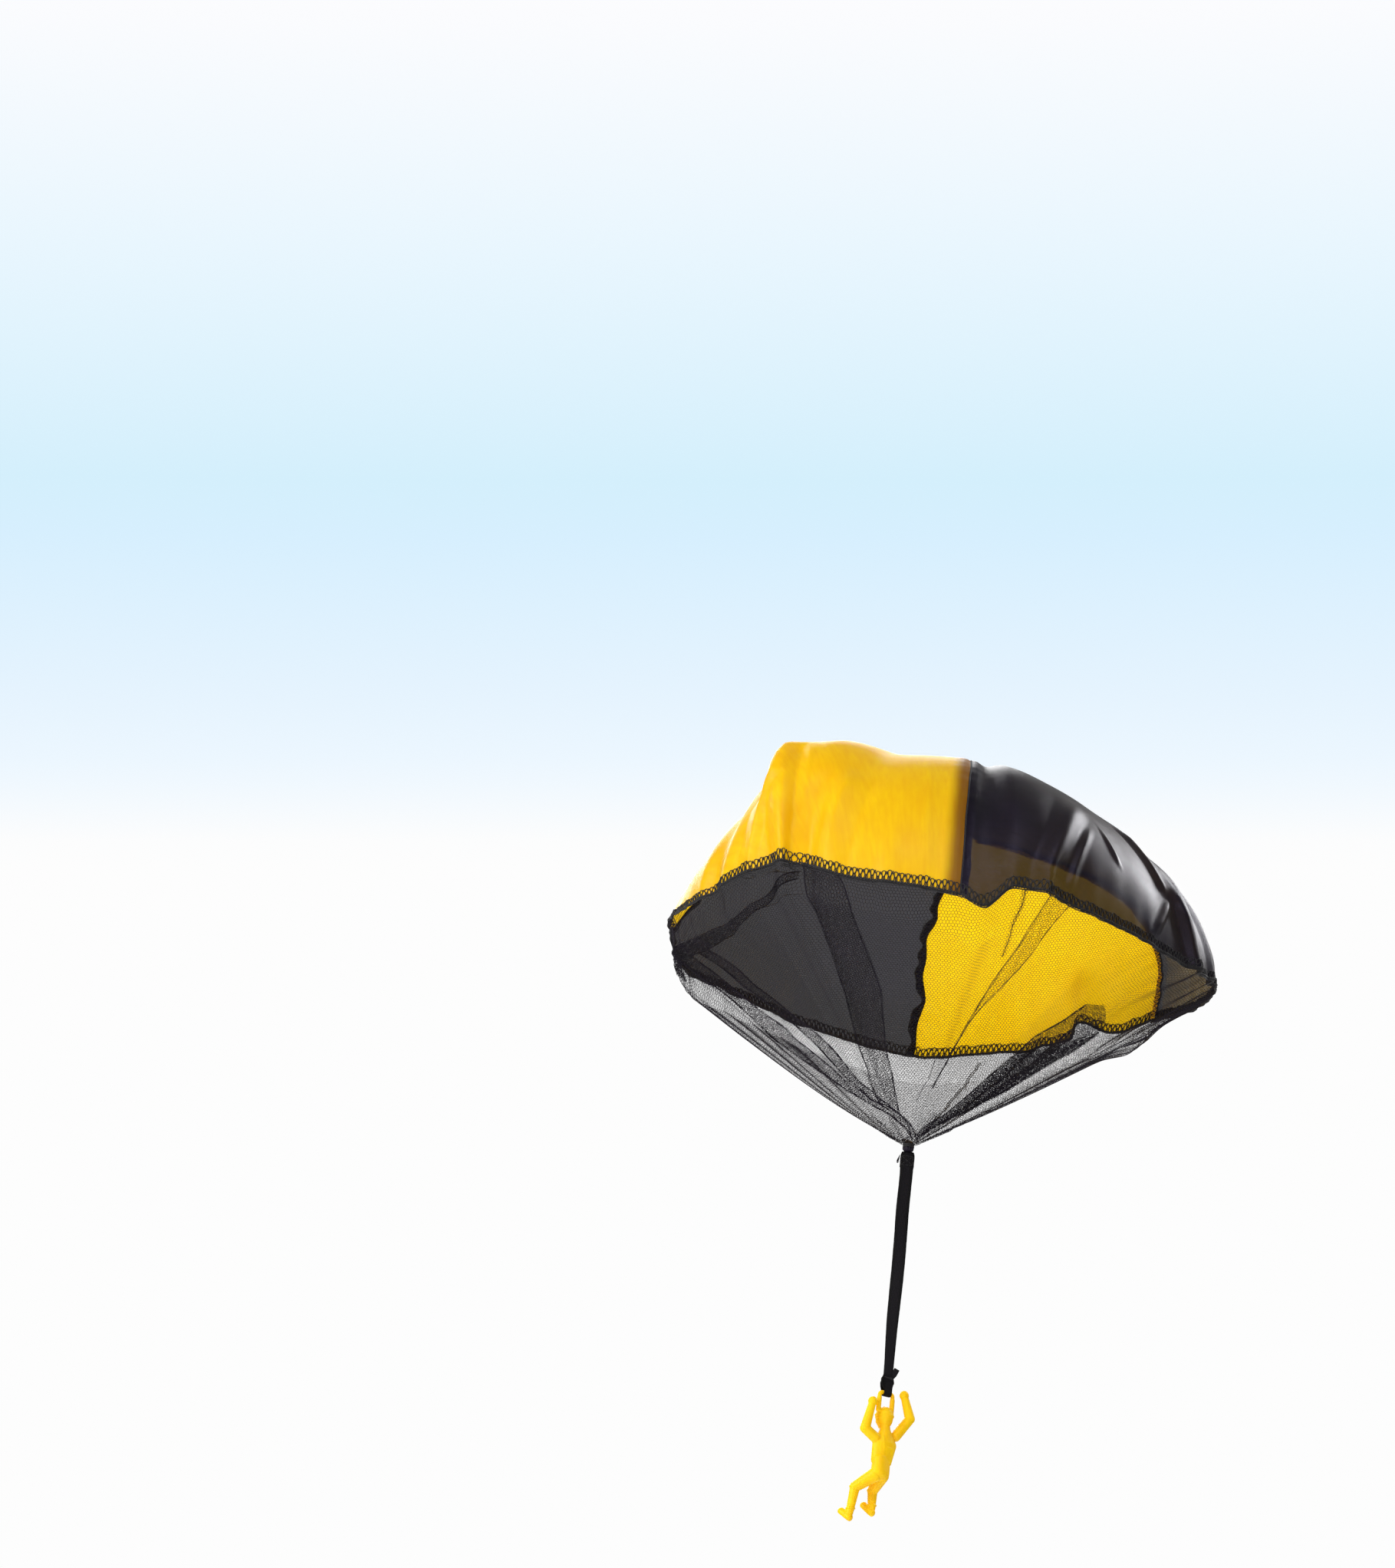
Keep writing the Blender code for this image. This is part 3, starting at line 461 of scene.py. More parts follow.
# Small relief of the sewn cloth, in millimetres: puckers at seams and hem, creases and slack
def relief(azimuth, share):
    down = meridian(azimuth) * share / mm
    fromHem = meridian(azimuth) * (1 - share) / mm
    around = np.radians(azimuth) * canopyShape["rimRadius"] / mm
    slack = wander(around, down, [(61, 900, 0.3), (37, -640, 1.9), (83, 300, 4.1)])
    ripple = wander(around, down, [(15.5, 260, 0.2), (23, -190, 2.2), (34, 400, 4.4)])
    gather = wander(around, down, [(9.5, 90, 1.0), (12.4, -70, 3.0)])
    rise = 0.55 * smoothStep((share - 0.25) / 0.6) * slack
    rise = rise + 0.75 * ripple * np.exp(-fromHem / 17) + 0.25 * gather * np.exp(-fromHem / 7)
    for k, (turn, pucker, stray) in enumerate(canopyShape["seams"]):
        beside = besideLine(azimuth, turn, share)
        pull = wander(down, beside, [(9.6, 30, 0.5 + k), (13.7, -44, 2.9 * k), (21, 60, 1.3)])
        rise = rise + pucker * pull * np.exp(-(beside / 8.5) ** 2) * smoothStep(share * 5)
        rise = rise - 0.55 * np.exp(-(beside / 1.5) ** 2) + 0.35 * np.exp(-((np.abs(beside) - 4.2) / 2.6) ** 2)
    for startAz, start, endAz, end, half, height in canopyShape["creases"]:
        way = (share - start) / (end - start)
        centre = startAz + (endAz - startAz) * np.clip(way, 0, 1)
        beside = besideLine(azimuth, centre, share) + 0.8 * np.sin(down / 7.0 + startAz)
        ends = smoothStep(way * 3) * smoothStep((1.08 - way) * 4)
        rise = rise + height * np.exp(-np.abs(beside / half) ** 1.5) * ends
    for left, right, height, line in canopyShape["sharpFolds"]:
        turns, shares = np.array(line).T
        beside = besideLine(azimuth, np.interp(share, shares, turns), share)
        tent = np.maximum(0, 1 - (np.sqrt(beside**2 + 0.16) - 0.4) / np.where(beside < 0, left, right))
        last = 1.0 if shares[-1] >= 1 else smoothStep((shares[-1] + 0.01 - share) / 0.05)
        rise = rise + height * tent * smoothStep((share - shares[0]) / 0.09) * last
    return rise


def cloth(azimuth, share, lift=0.0):
    # a place on the sewn cloth, moved sideways where a seam strays; lift is in millimetres outwards
    azimuth, share = floats(azimuth, share)
    degree = np.radians(canopyShape["rimRadius"] / mm) * np.sin(np.clip(share, 0.3, 1) * np.pi / 2)
    moved = azimuth
    for turn, pucker, stray in canopyShape["seams"]:
        wave = wander(share * canopyShape["slope"], 0 * share, [(64, 900, 0.2 + turn), (29, 900, 2.0), (104, 900, 1.1)])
        near = np.exp(-(apart(azimuth, turn) / 9) ** 2) * smoothStep(share * 3)
        moved = moved + stray * wave * near / degree
    rise = (relief(moved, share) + lift)[..., None] * mm
    return canopy(moved, share) + outward(canopy, moved, share) * rise


# Canopy panels

panelShape = {
    "columnSpacing": 0.95,  # millimetres along the hem
    "rows": 190,
    # painted shade on the yellow beside the front seam, standing in for the seam allowance behind it that blocks the
    # light
    # shining through: millimetres beside the seam, how softly that ends, then the share of the way down where it starts
    # and how softly
    "paintedSeamShade": (11.0, 8, 0.38, 0.12),
    "cutAngle": 88,  # each quarter is cut as a fan of nearly a right angle
    "quarters": {
        "canopyFrontLeft": ("panel_front_left", 180, 272.5, "yellow"),
        "canopyFrontRight": ("panel_front_right", 272.5, 397, "black"),
        "canopyBackRight": ("panel_back_right", 37, 94, "yellow"),
        "canopyBackLeft": ("panel_back_left", 94, 180, "black"),
    },
}
nylonLook = {
    "yellow": {"deep": "#F3B602", "bright": "#FDCE04", "throughColour": "#FFD208", "through": 0.36,
               "open": 0.0, "sheen": 0.14, "shine": 0.2, "tint": "#FFFFFF"},
    "black": {"deep": "#08050C", "bright": "#110B17", "throughColour": "#2E2835", "through": 0.04,
              "open": 0.05, "sheen": 0.04, "shine": 0.19, "tint": "#D6CCFA"},
    "doubled": "#8F7A48",  # painted shade: multiplies the yellow beside the front seam, where two more layers lie behind it and block the light through it
    "threadSpacing": 0.42,  # real threads lie 0.12 mm apart; drawn coarser, so that the weave shows
    "roughness": 0.35,
}


# Calendered nylon taffeta: a thin plain weave pressed smooth, so it has a broad satin shine, lets
# light glow through and, where it is dyed black, shows a hint of what is behind it
def nylonTaffeta(name, look):
    material, tree = startMaterial(name)
    flat = node(tree, "UVMap", uv_map="flatCut").outputs[0]
    fine = 1 / nylonLook["threadSpacing"]
    yarn = {"Vector": flat, "Scale": fine, "Distortion": 0.4, "Detail": 1.0, "Detail Scale": 0.4}
    warp, weft = [node(tree, "TexWave", yarn, bands_direction=way, wave_profile="SIN").outputs["Fac"] for way in "XY"]
    weave = maths(tree, "MULTIPLY", warp, weft)
    cloud = noise(tree, flat, 0.035, 4.0, 0.6)
    slack = node(tree, "Mapping", {"Vector": flat, "Scale": (0.35, 0.07, 1.0)})
    streak = noise(tree, slack.outputs[0], 1.0, 3.0)
    tone = maths(tree, "MULTIPLY", cloud, streak)
    colour = ramp(tree, tone, [(0.12, look["deep"]), (0.40, look["bright"])])
    # painted shade beside the front seam: this attribute darkens both the yellow and the light that glows through it
    paintedSeamShade = node(tree, "Attribute", attribute_name="paintedSeamShade").outputs["Fac"]
    tints = []
    for plain in (colour, linear(look["throughColour"])):
        tint = node(tree, "Mix", {"Factor": paintedSeamShade, 6: plain, 7: linear(nylonLook["doubled"])},
                    data_type="RGBA", blend_type="MULTIPLY")
        tints.append(tint.outputs[2])
    bump = bumped(tree, maths(tree, "ADD", weave, streak), 0.18, 0.00012)
    shine = mapped(tree, cloud, 0.3, 0.7, nylonLook["roughness"] - 0.05, nylonLook["roughness"] + 0.07)
    face = node(tree, "BsdfPrincipled", {
        "Base Color": tints[0], "Roughness": shine, "IOR": 1.53, "Specular IOR Level": look["shine"],
        "Specular Tint": linear(look["tint"]), "Sheen Weight": look["sheen"], "Sheen Roughness": 0.3, "Normal": bump})
    glow = node(tree, "BsdfTranslucent", {"Color": tints[1], "Normal": bump})
    mixed = node(tree, "MixShader", {0: look["through"], 1: face.outputs[0], 2: glow.outputs[0]})
    if look["open"]:
        clear = node(tree, "BsdfTransparent", {"Color": (1.0, 1.0, 1.0, 1.0)})
        mixed = node(tree, "MixShader", {0: look["open"], 1: mixed.outputs[0], 2: clear.outputs[0]})
    return finishMaterial(material, mixed)


nylon = {
    "yellow": nylonTaffeta("yellowNylonTaffeta", nylonLook["yellow"]),
    "black": nylonTaffeta("blackNylonTaffeta", nylonLook["black"]),
}


def addPanel(name, nodeName, start, end, shade):
    width = math.radians(end - start) * canopyShape["rimRadius"] / mm
    columns = int(width / panelShape["columnSpacing"]) + 1
    azimuth = np.linspace(start, end, columns)[:, None]
    share = np.linspace(0, 1, panelShape["rows"])[None, :]
    points = cloth(azimuth, share)
    points[:, 0] = cloth(np.array([start]), np.array([0.0]))[0]
    radius = meridian(azimuth) * share / mm
    angle = np.radians((azimuth - start) / (end - start) * panelShape["cutAngle"])
    uv = np.stack([radius * np.cos(angle), radius * np.sin(angle)], -1).reshape(-1, 2)
    panel = meshFrom(name, points, gridFaces(columns, panelShape["rows"]), nylon[shade], uv)
    if name == "canopyFrontLeft":
        # painted shade on the yellow beside the front seam, kept as a point attribute for its material
        wide, soft, high, softHigh = panelShape["paintedSeamShade"]
        beside = np.radians(end - azimuth) * canopyShape["rimRadius"] * np.sin(share * np.pi / 2) / mm
        dark = smoothStep((wide - beside) / soft) * smoothStep((share - high) / softHigh)
        values = dark.ravel().astype(np.float32)
        panel.data.attributes.new("paintedSeamShade", "FLOAT", "POINT").data.foreach_set("value", values)
    weld(panel)
    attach(panel, "canopy")
    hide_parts(nodeName)
    # the flat cut is a fan: as long as the way from crown to hem, and as wide as its own piece of hem
    across = float(np.linalg.norm(np.diff(points[:, -1], axis=0), axis=1).sum())
    along = float(meridian(azimuth).mean())
    return panel, (across, along), sum(face.area for face in panel.data.polygons)


for name, (nodeName, start, end, shade) in panelShape["quarters"].items():
    addPanel(name, nodeName, start, end, shade)


# Thread that the canopy is sewn with

# Spun polyester overlock thread, dyed black: matt, twisted, a little hairy
def polyesterThread():
    material, tree = startMaterial("blackPolyesterThread")
    flat = node(tree, "UVMap", uv_map="flatCut").outputs[0]
    slope = node(tree, "Mapping", {"Vector": flat, "Scale": (1.4, 1.0, 1.0)}).outputs[0]
    twist = node(tree, "TexWave", {"Vector": slope, "Scale": 1.0, "Distortion": 0.3}, bands_direction="DIAGONAL")
    colour = ramp(tree, noise(tree, flat, 3.0, 3.0), [(0.35, "#100E10"), (0.7, "#221F23")])
    bump = bumped(tree, twist.outputs["Fac"], 0.5, 0.00006)
    return finishMaterial(material, node(tree, "BsdfPrincipled", {
        "Base Color": colour, "Roughness": 0.72, "Specular IOR Level": 0.35, "Sheen Weight": 0.08, "Normal": bump}))


blackThread = polyesterThread()
hemShape = {
    "stitch": 3.1,  # millimetres from one overlock stitch to the next
    "width": 4.7,
    "thread": 0.23,  # half of a thread's thickness
    "chain": 0.45,  # half of the chained edge's thickness
    "off": 0.26,  # how far the stitches lie off the cloth
    # the net's gathered edge bunches under the hem: azimuth, then how far down in millimetres
    "bunch": [(180, 0.5), (196, 0.9), (222, 1.3), (228, 3.2), (237, 3.4), (240, 1.2), (262, 0.9), (290, 1.3),
              (320, 0.9), (340, 1.6), (397, 0.9), (430, 1.4), (460, 0.8), (500, 1.4), (540, 0.5)],
    "bunchThreads": 5,
    "quarters": {
        "hemFrontLeft": ("hem_front_left", "canopyFrontLeft"),
        "hemFrontRight": ("hem_front_right", "canopyFrontRight"),
        "hemBackRight": ("hem_back_right", "canopyBackRight"),
        "hemBackLeft": ("hem_back_left", "canopyBackLeft"),
    },
}


def hemPlace(azimuth, height, lift):
    # height is in millimetres up from the hem's edge
    return cloth(azimuth, 1 - height * mm / meridian(azimuth), lift)


def addHem(name, nodeName, start, end):
    degree = np.radians(1) * canopyShape["rimRadius"] / mm
    stitches = int((end - start) * degree / hemShape["stitch"])
    step = np.linspace(0, stitches, stitches * 12 + 1)
    steady = 1 + 0.12 * np.sin(step * 1.7) * np.sin(step * 0.37)
    azimuth = start + (end - start) * step / stitches
    pitch = (end - start) / stitches
    rise = (0.5 - 0.5 * np.cos(2 * np.pi * step)) ** 0.7
    high = hemShape["width"] * (0.02 + 0.98 * rise * steady)
    lean = pitch * 0.16 * np.sin(4 * np.pi * step)
    routes = []
    for face, lower in ((1, 0.95), (-1, 0.97)):
        routes.append(hemPlace(azimuth + lean, high, face * hemShape["off"]))
        routes.append(hemPlace(azimuth - lean + pitch / 2, high * lower, face * (hemShape["off"] + 0.08)))
    bunch, count = np.interp(azimuth, *np.array(hemShape["bunch"]).T), hemShape["bunchThreads"]
    for k in range(count):
        sway = 0.25 * wander(step, k + 0 * step, [(5.3, 3.1, k), (2.1, 1.7, 2 * k), (11, 4, 1.0)])
        routes.append(hemPlace(azimuth, -bunch * (k + 0.6) / count + sway * bunch * 0.4, 0.3 * np.sin(2.1 * k) + sway))
    # the two loopers lock in a chain along the edge
    side = np.sin(2 * np.pi * step * 2)
    chain = [hemPlace(azimuth, 0.25 + 0.18 * side, 0.30 + 0.12 * np.cos(2 * np.pi * step * 2)),
             hemPlace(azimuth, 0.05 - 0.18 * side, -0.30)]
    stitching = threads(name, routes, hemShape["thread"] * mm, blackThread)
    joinPieces(stitching, threads(name + "Edge", chain, hemShape["chain"] * mm, blackThread))
    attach(stitching, "canopy")
    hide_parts(nodeName)
    return stitching


for name, (nodeName, panelName) in hemShape["quarters"].items():
    start, end, shade = panelShape["quarters"][panelName][1:]
    hem = addHem(name, nodeName, start, end)
print("hems are overlocked")


# Seams: both cloths turn inwards and are overlocked together, so a narrow fin stands inside

seamShape = {
    "width": 4.0,
    "thickness": 0.7,
    "stitch": 2.5,
    # node, azimuth, side that the fin leans to, colour of its cloth, how unevenly it lies
    "seams": {
        "seamFront": ("seam_front", 272.5, 1, "black", 0.25),
        "seamRight": ("seam_right", 397, -1, "yellow", 1.0),
        "seamBack": ("seam_back", 94, 1, "black", 1.3),
        "seamLeft": ("seam_left", 180, -1, "black", 1.0),
    },
    # the fin's outline: share of its width, share of its thickness
    "fin": [(0.0, 0.3), (0.5, 0.3), (0.97, 0.3), (1.0, 0.0), (0.97, -0.35), (0.5, -0.35), (0.0, -0.35)],
    "rows": 150,
    "first": 0.03,
    "last": 0.998,
    "thread": 0.2,
    "chain": 0.5,
}


def finPlace(seam, share, across, lift=0.0):
    # across runs from 0 at the seam to 1 at the fin's free edge
    nodeName, turn, way, shade, uneven = seam
    down = meridian(turn) * share / mm
    sway = uneven * wander(down, 0 * down, [(19, 900, turn), (11.5, 900, 2 * turn), (31, 900, 0.4)])
    reach = seamShape["width"] * (1 + 0.22 * sway) * smoothStep(share * 9)
    radius = canopyShape["rimRadius"] * np.sin(np.clip(share, 0.05, 1) * np.pi / 2)
    lean = np.degrees((across * reach * way + 0.9 * sway * across) * mm / radius)
    return cloth(turn + lean, share, -0.55 - across * (0.8 + 0.9 * sway) + lift)


def addSeam(name, seam):
    nodeName, turn, way, shade, uneven = seam
    rows, columns = seamShape["rows"], len(seamShape["fin"])
    share = np.linspace(seamShape["first"], seamShape["last"], rows)
    grid = np.stack([finPlace(seam, share, across, lift * seamShape["thickness"]) for across, lift in seamShape["fin"]])
    uv = np.stack([np.repeat(np.arange(columns) * 1.0, rows), np.tile(share * canopyShape["slope"], columns)], -1)
    fin = meshFrom(name, grid, gridFaces(columns, rows, wrap=True), nylon[shade], uv)
    shaping = bmesh.new()
    shaping.from_mesh(fin.data)
    bmesh.ops.holes_fill(shaping, edges=[e for e in shaping.edges if e.is_boundary])
    bmesh.ops.recalc_face_normals(shaping, faces=shaping.faces)
    shaping.to_mesh(fin.data)
    shaping.free()
    stitches = int(meridian(np.array(turn)) * 0.96 / mm / seamShape["stitch"])
    step = np.linspace(0, stitches, stitches * 10 + 1)
    along = 0.035 + 0.96 * step / stitches
    over = 1.0 - 0.92 * (0.5 - 0.5 * np.cos(2 * np.pi * step)) ** 0.7
    half = seamShape["thickness"] * 0.35 + 0.16
    stitching = [finPlace(seam, along, over, half), finPlace(seam, along, over, -half - 0.05)]
    chain = [finPlace(seam, along, 1.0 + 0.03 * np.sin(4 * np.pi * step), 0.15 * np.cos(4 * np.pi * step)),
             finPlace(seam, along, 0.14 + 0.02 * np.sin(2 * np.pi * step), half + 0.1)]
    joinPieces(fin, threads(name + "Threads", stitching, seamShape["thread"] * mm, blackThread),
               threads(name + "Chain", chain, seamShape["chain"] * mm, blackThread))
    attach(fin, "canopy")
    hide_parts(nodeName)


for name, seam in seamShape["seams"].items():
    addSeam(name, seam)
print("seams are sewn")


# Bar tack over the crossing of the seams

crownShape = {
    "rings": (0.0, 1.2, 2.4, 3.4, 4.2, 4.6),  # radii of the patch, in millimetres
    "off": 0.32,
    "bars": {40: 0.25, 130: 0.0},  # angle of each bar, and how much higher it lies
    "bar": 7.6,
    "barWidth": 2.2,
    "wraps": 22,
    "thread": 0.19,
}


def crownPlace(x, y, lift):
    turn, share = np.degrees(np.arctan2(y, x)), np.hypot(x, y) / canopyShape["slope"]
    return cloth(np.mod(turn, 360), np.maximum(share, 0.002), lift)


def addCrown():
    turns = np.radians(np.linspace(0, 360, 49)[:-1])
    wobble = 1 + 0.05 * np.sin(turns * 5 + 0.6)
    rings = crownShape["rings"]
    loops = []
    for lift, radii in ((crownShape["off"], rings), (-crownShape["off"], rings[::-1])):
        for radius in radii:
            r = radius * wobble
            loops.append(crownPlace(r * np.cos(turns), r * np.sin(turns), 0.0 if radius == rings[-1] else lift))
    grid = np.stack(loops, 1)
    patch = meshFrom("crownTack", grid, gridFaces(len(turns), grid.shape[1], wrap=True), nylon["black"],
                     grid.reshape(-1, 3)[:, :2] / mm)
    weld(patch, 2e-5)
    routes = []
    step = np.linspace(0, 1, crownShape["wraps"] * 8 + 1)
    wrap = step * crownShape["wraps"] * 2 * np.pi
    for angle, higher in crownShape["bars"].items():
        x, y = turned((step - 0.5) * crownShape["bar"], np.sin(wrap) * crownShape["barWidth"] / 2, angle)
        routes.append(crownPlace(x, y, 0.36 + 0.30 * np.abs(np.cos(wrap)) + higher))
    joinPieces(patch, threads("crownThreads", routes, crownShape["thread"] * mm, blackThread))
    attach(patch, "canopy")
    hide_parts("crown_bartack")


addCrown()
print("crown is tacked")


# Mesh skirt: a cone of knitted net from the hem to the gather

netShape = {
    "gather": (-0.0149, -0.025, -0.190),
    "bulge": 0.009,
    "tieReach": 0.00375,
    "polar": 66,
    "belly": 0.0030,
    # the net also drops at the right: azimuth, half width in degrees, depth, share of the way, its spread
    "drop": (24, 28, 0.0046, 0.22, 0.06),
    "gap": 0.0003,
    "flatFaces": [(183, 228), (308, 354)],  # azimuths between which the hanging net is drawn flat
    "pleatHeight": 0.0012,
    # azimuth at hem and gather, half width in degrees, height share
    "pleats": [
        (12, 20, 9, -0.9), (30, 28, 9, 1.0), (66, 62, 9, -0.7), (100, 95, 10, 0.6), (128, 126, 9, -0.7),
        (160, 164, 9, 1.0), (196, 190, 10, -0.9), (222, 218, 9, 0.7), (247, 244, 9, -1.0), (274, 272, 9, 0.6),
        (302, 296, 9, -0.8), (332, 330, 10, 0.7),
    ],
    "cell": 1.6,  # millimetres between cells; real tulle of this kind has about 1.3, drawn coarser to show
    "yarn": 0.196,
    "stray": 0.22,  # how far the knots lie out of line, in millimetres
    "flatReach": 0.2,  # radius of the flat net before it is cut, in metres
    "sector": 293,  # degrees of the flat cut, a fan that closes into the cone
    "cutAt": 78,
    "lastYarn": 0.999,
    "gores": {
        "netBack": (78, 138), "netBackLeft": (138, 198), "netFrontLeft": (198, 258), "netFront": (258, 318),
        "netFrontRight": (318, 378), "netBackRight": (378, 438),
    },
    "lifts": (0.4, 0.8, 1.2, 1.6, 2.0),  # millimetres off the net for each folded layer
    # small pleats crowd the net just above the tie: share of the way where they start, how many layers
    "crowd": (0.90, 2),
    # edges of the folds, where the net is seen edge on and reads as a dark line: how many yarns crowd
    # there, then rows of azimuth and share
    "edges": {
        "middleLeft": (4, [(240, 0), (240, 0.044), (241.6, 0.12), (241.4, 0.254), (240.8, 0.419), (239.4, 0.55),
                           (237.6, 0.711), (233.8, 0.796), (231.6, 0.845)]),
        "middleRight": (4, [(248.4, 0), (251, 0.073), (251.6, 0.154), (254.8, 0.377), (252.8, 0.621),
                            (253.8, 0.703), (253, 0.835), (252, 0.902)]),
        "cornerTop": (6, [(239.4, 0.02), (231, 0.069), (219.6, 0.091), (207.2, 0.085), (190.8, 0.071),
                          (179.4, 0.073), (172, 0.072)]),
        "cornerLow": (6, [(239, 0.04), (229.8, 0.095), (212.8, 0.13), (198.2, 0.132), (176.2, 0.101), (172, 0.11)]),
        "cornerCrease": (2, [(239.8, 0.071), (233.2, 0.097), (227.8, 0.099)]),
        "lowerLeft": (6, [(181.8, 0.1), (181.8, 0.132), (185.6, 0.311), (185.2, 0.495), (189.8, 0.605),
                          (200.4, 0.749), (216, 0.829), (243.8, 0.902), (284.2, 0.99)]),
        "lowerRight": (4, [(190, 0.12), (190, 0.171), (191.4, 0.289), (194.4, 0.409), (198.2, 0.47), (198.4, 0.529),
                           (204, 0.619), (209.6, 0.719), (225.4, 0.825), (252.2, 0.87), (290, 0.975)]),
        "upperLeft": (5, [(194.8, 0.13), (196.8, 0.295), (204.6, 0.45), (210.2, 0.592), (212.4, 0.711),
                          (223.6, 0.811), (239, 0.866)]),
        "upperRight": (4, [(199.8, 0.13), (202.2, 0.301), (210.2, 0.466), (213, 0.497), (220.2, 0.611),
                           (223.8, 0.739), (237.8, 0.833), (252.2, 0.87), (276, 0.975)]),
        "wideLeft": (4, [(290.5, 0), (287.2, 0.291), (285.6, 0.434), (284.2, 0.55), (282.4, 0.66), (279.6, 0.74)]),
        "wideRight": (3, [(295.6, 0), (291.2, 0.275), (288.2, 0.39), (285.6, 0.48), (284.4, 0.55), (282.8, 0.66),
                          (279.8, 0.74)]),
        "short": (3, [(285.4, 0), (286, 0.057), (285.4, 0.12), (286, 0.226)]),
        "coreLeft": (5, [(321.8, 0.269), (319.8, 0.366), (315.2, 0.454), (315.2, 0.533), (313, 0.633),
                         (312.6, 0.737), (309.4, 0.853), (288.2, 0.971)]),
        "coreRight": (6, [(340.8, 0.332), (341.8, 0.43), (340, 0.538), (339.4, 0.68), (332.4, 0.811), (303.2, 0.982)]),
        "coreTop": (3, [(340.8, 0.332), (334.6, 0.421), (328.2, 0.478), (315.2, 0.533)]),
        "rightCrease": (1, [(351.4, 0.273), (351.8, 0.43), (351.6, 0.601), (351.2, 0.819), (344.8, 0.969)]),
        "frontCrease": (2, [(276.2, 0.582), (275.6, 0.701), (271.2, 0.806)]),
        "lowCrease": (1, [(289, 0.888), (280, 0.951)]),
    },
}


def foldOutlines():
    # where the net lies folded over itself: how many more layers, then the outline, along the edges
    e = {name: line for name, (count, line) in netShape["edges"].items()}
    return [
        (2, e["middleLeft"] + e["middleRight"][::-1]),
        (3, e["cornerTop"] + e["cornerLow"][::-1]),
        (2, e["lowerLeft"] + e["lowerRight"][::-1]),
        (2, e["upperLeft"] + e["upperRight"][-2::-1]),
        (1, e["wideLeft"][:4] + e["wideRight"][4::-1]),
        (1, [(284.6, 0.0), (285.4, 0.057), (284.8, 0.12), (285.6, 0.226), (286.6, 0.226), (286, 0.12), (286.6, 0.057),
             (286, 0.0)]),
        (5, e["coreLeft"][3:] + e["coreRight"][::-1] + e["coreTop"][1:3]),
        (2, e["coreLeft"][:4] + e["coreTop"][::-1] + [(336, 0.28), (329, 0.24)]),
    ]


# Knitted nylon tulle, dyed black: fine smooth yarn with a slight shine
def nylonTulle():
    material, tree = startMaterial("blackNylonTulle")
    where = node(tree, "TexCoord").outputs["Object"]
    colour = ramp(tree, noise(tree, where, 60.0, 3.0), [(0.3, "#0F0A14"), (0.75, "#1C1523")])
    bump = bumped(tree, noise(tree, where, 2600.0, 2.0), 0.25, 0.00004)
    return finishMaterial(material, node(tree, "BsdfPrincipled", {
        "Base Color": colour, "Roughness": 0.55, "Specular IOR Level": 0.18, "Normal": bump}))


blackTulle = nylonTulle()


def pleatRise(azimuth, way):
    rise = 0
    for atHem, atGather, halfTurn, height in netShape["pleats"]:
        reach = np.abs(apart(azimuth, atHem + (atGather - atHem) * way)) / halfTurn
        rise = rise + netShape["pleatHeight"] * height * (1 - smoothStep(reach))
    return rise * smoothStep(way * 3) * smoothStep((1 - way) * 1.6)


def roundSkirt(azimuth, way):
    azimuth, way = floats(azimuth, way)
    out, ones = outFrom(azimuth), np.ones_like(azimuth)
    edge = cloth(azimuth, ones)
    downward = unit(canopy(azimuth, ones) - canopy(azimuth, ones * 0.98))
    start = edge + downward * netShape["gap"]
    polar = math.radians(netShape["polar"])
    end = np.array([0, 0, math.cos(polar)]) + out * math.sin(polar)
    end = np.array(netShape["gather"]) + netShape["tieReach"] * end
    line = unit(end - start)
    across = np.stack([-out[..., 1], out[..., 0], np.zeros_like(azimuth)], -1)
    side = unit(np.cross(line, across))
    side = side * np.where(side[..., 2:] > 0, -1, 1)
    # on the left the net drops steeply from the hem before it runs straight to the gather
    leftness = smoothStep(np.cos(np.radians(azimuth - 200)) * 0.7 + 0.5)
    peak = 0.28 - 0.21 * leftness
    high = netShape["bulge"] * (0.25 + 0.75 * leftness)
    fall = np.clip((way - peak) / (1 - peak), 0, 1)
    bulge = high * np.minimum(smoothStep(way / peak * 0.5) * 2, 1) * (1 - fall)
    belly = netShape["belly"] * (0.45 + 0.55 * leftness) * np.sin(np.pi * np.clip(way, 0, 1) ** 1.9)
    middle, half, depth, lowest, spread = netShape["drop"]
    drop = depth * (1 - smoothStep(np.abs(apart(azimuth, middle)) / half))
    drop = drop * np.exp(-((way - lowest) / spread) ** 2) * smoothStep(way / 0.06)
    rise = bulge + pleatRise(azimuth, way) + belly + drop
    return start + (end - start) * way[..., None] + side * rise[..., None]


def skirt(azimuth, way):
    azimuth, way = floats(azimuth, way)
    place = roundSkirt(azimuth, way)
    for first, last in netShape["flatFaces"]:
        t = (np.mod(azimuth, 360) - first) / (last - first)
        flat = roundSkirt(first, way) * (1 - t[..., None]) + roundSkirt(last, way) * t[..., None]
        share = (smoothStep(way / 0.25) * (t > 0) * (t < 1))[..., None]
        place = place * (1 - share) + flat * share
    return place


netStep = 0.75  # degrees between the columns of the skirt's table
netTurns, netWays = np.arange(0, 360, netStep), np.linspace(0, 1, 81)
netPoints = skirt(netTurns[:, None], netWays[None, :])
netAlong = np.gradient(netPoints, axis=1)
netAround = np.roll(netPoints, -1, 0) - np.roll(netPoints, 1, 0)
netNormals = unit(np.cross(netAlong, netAround))
netSlants = np.linalg.norm(np.diff(netPoints, axis=1), axis=-1).sum(1)


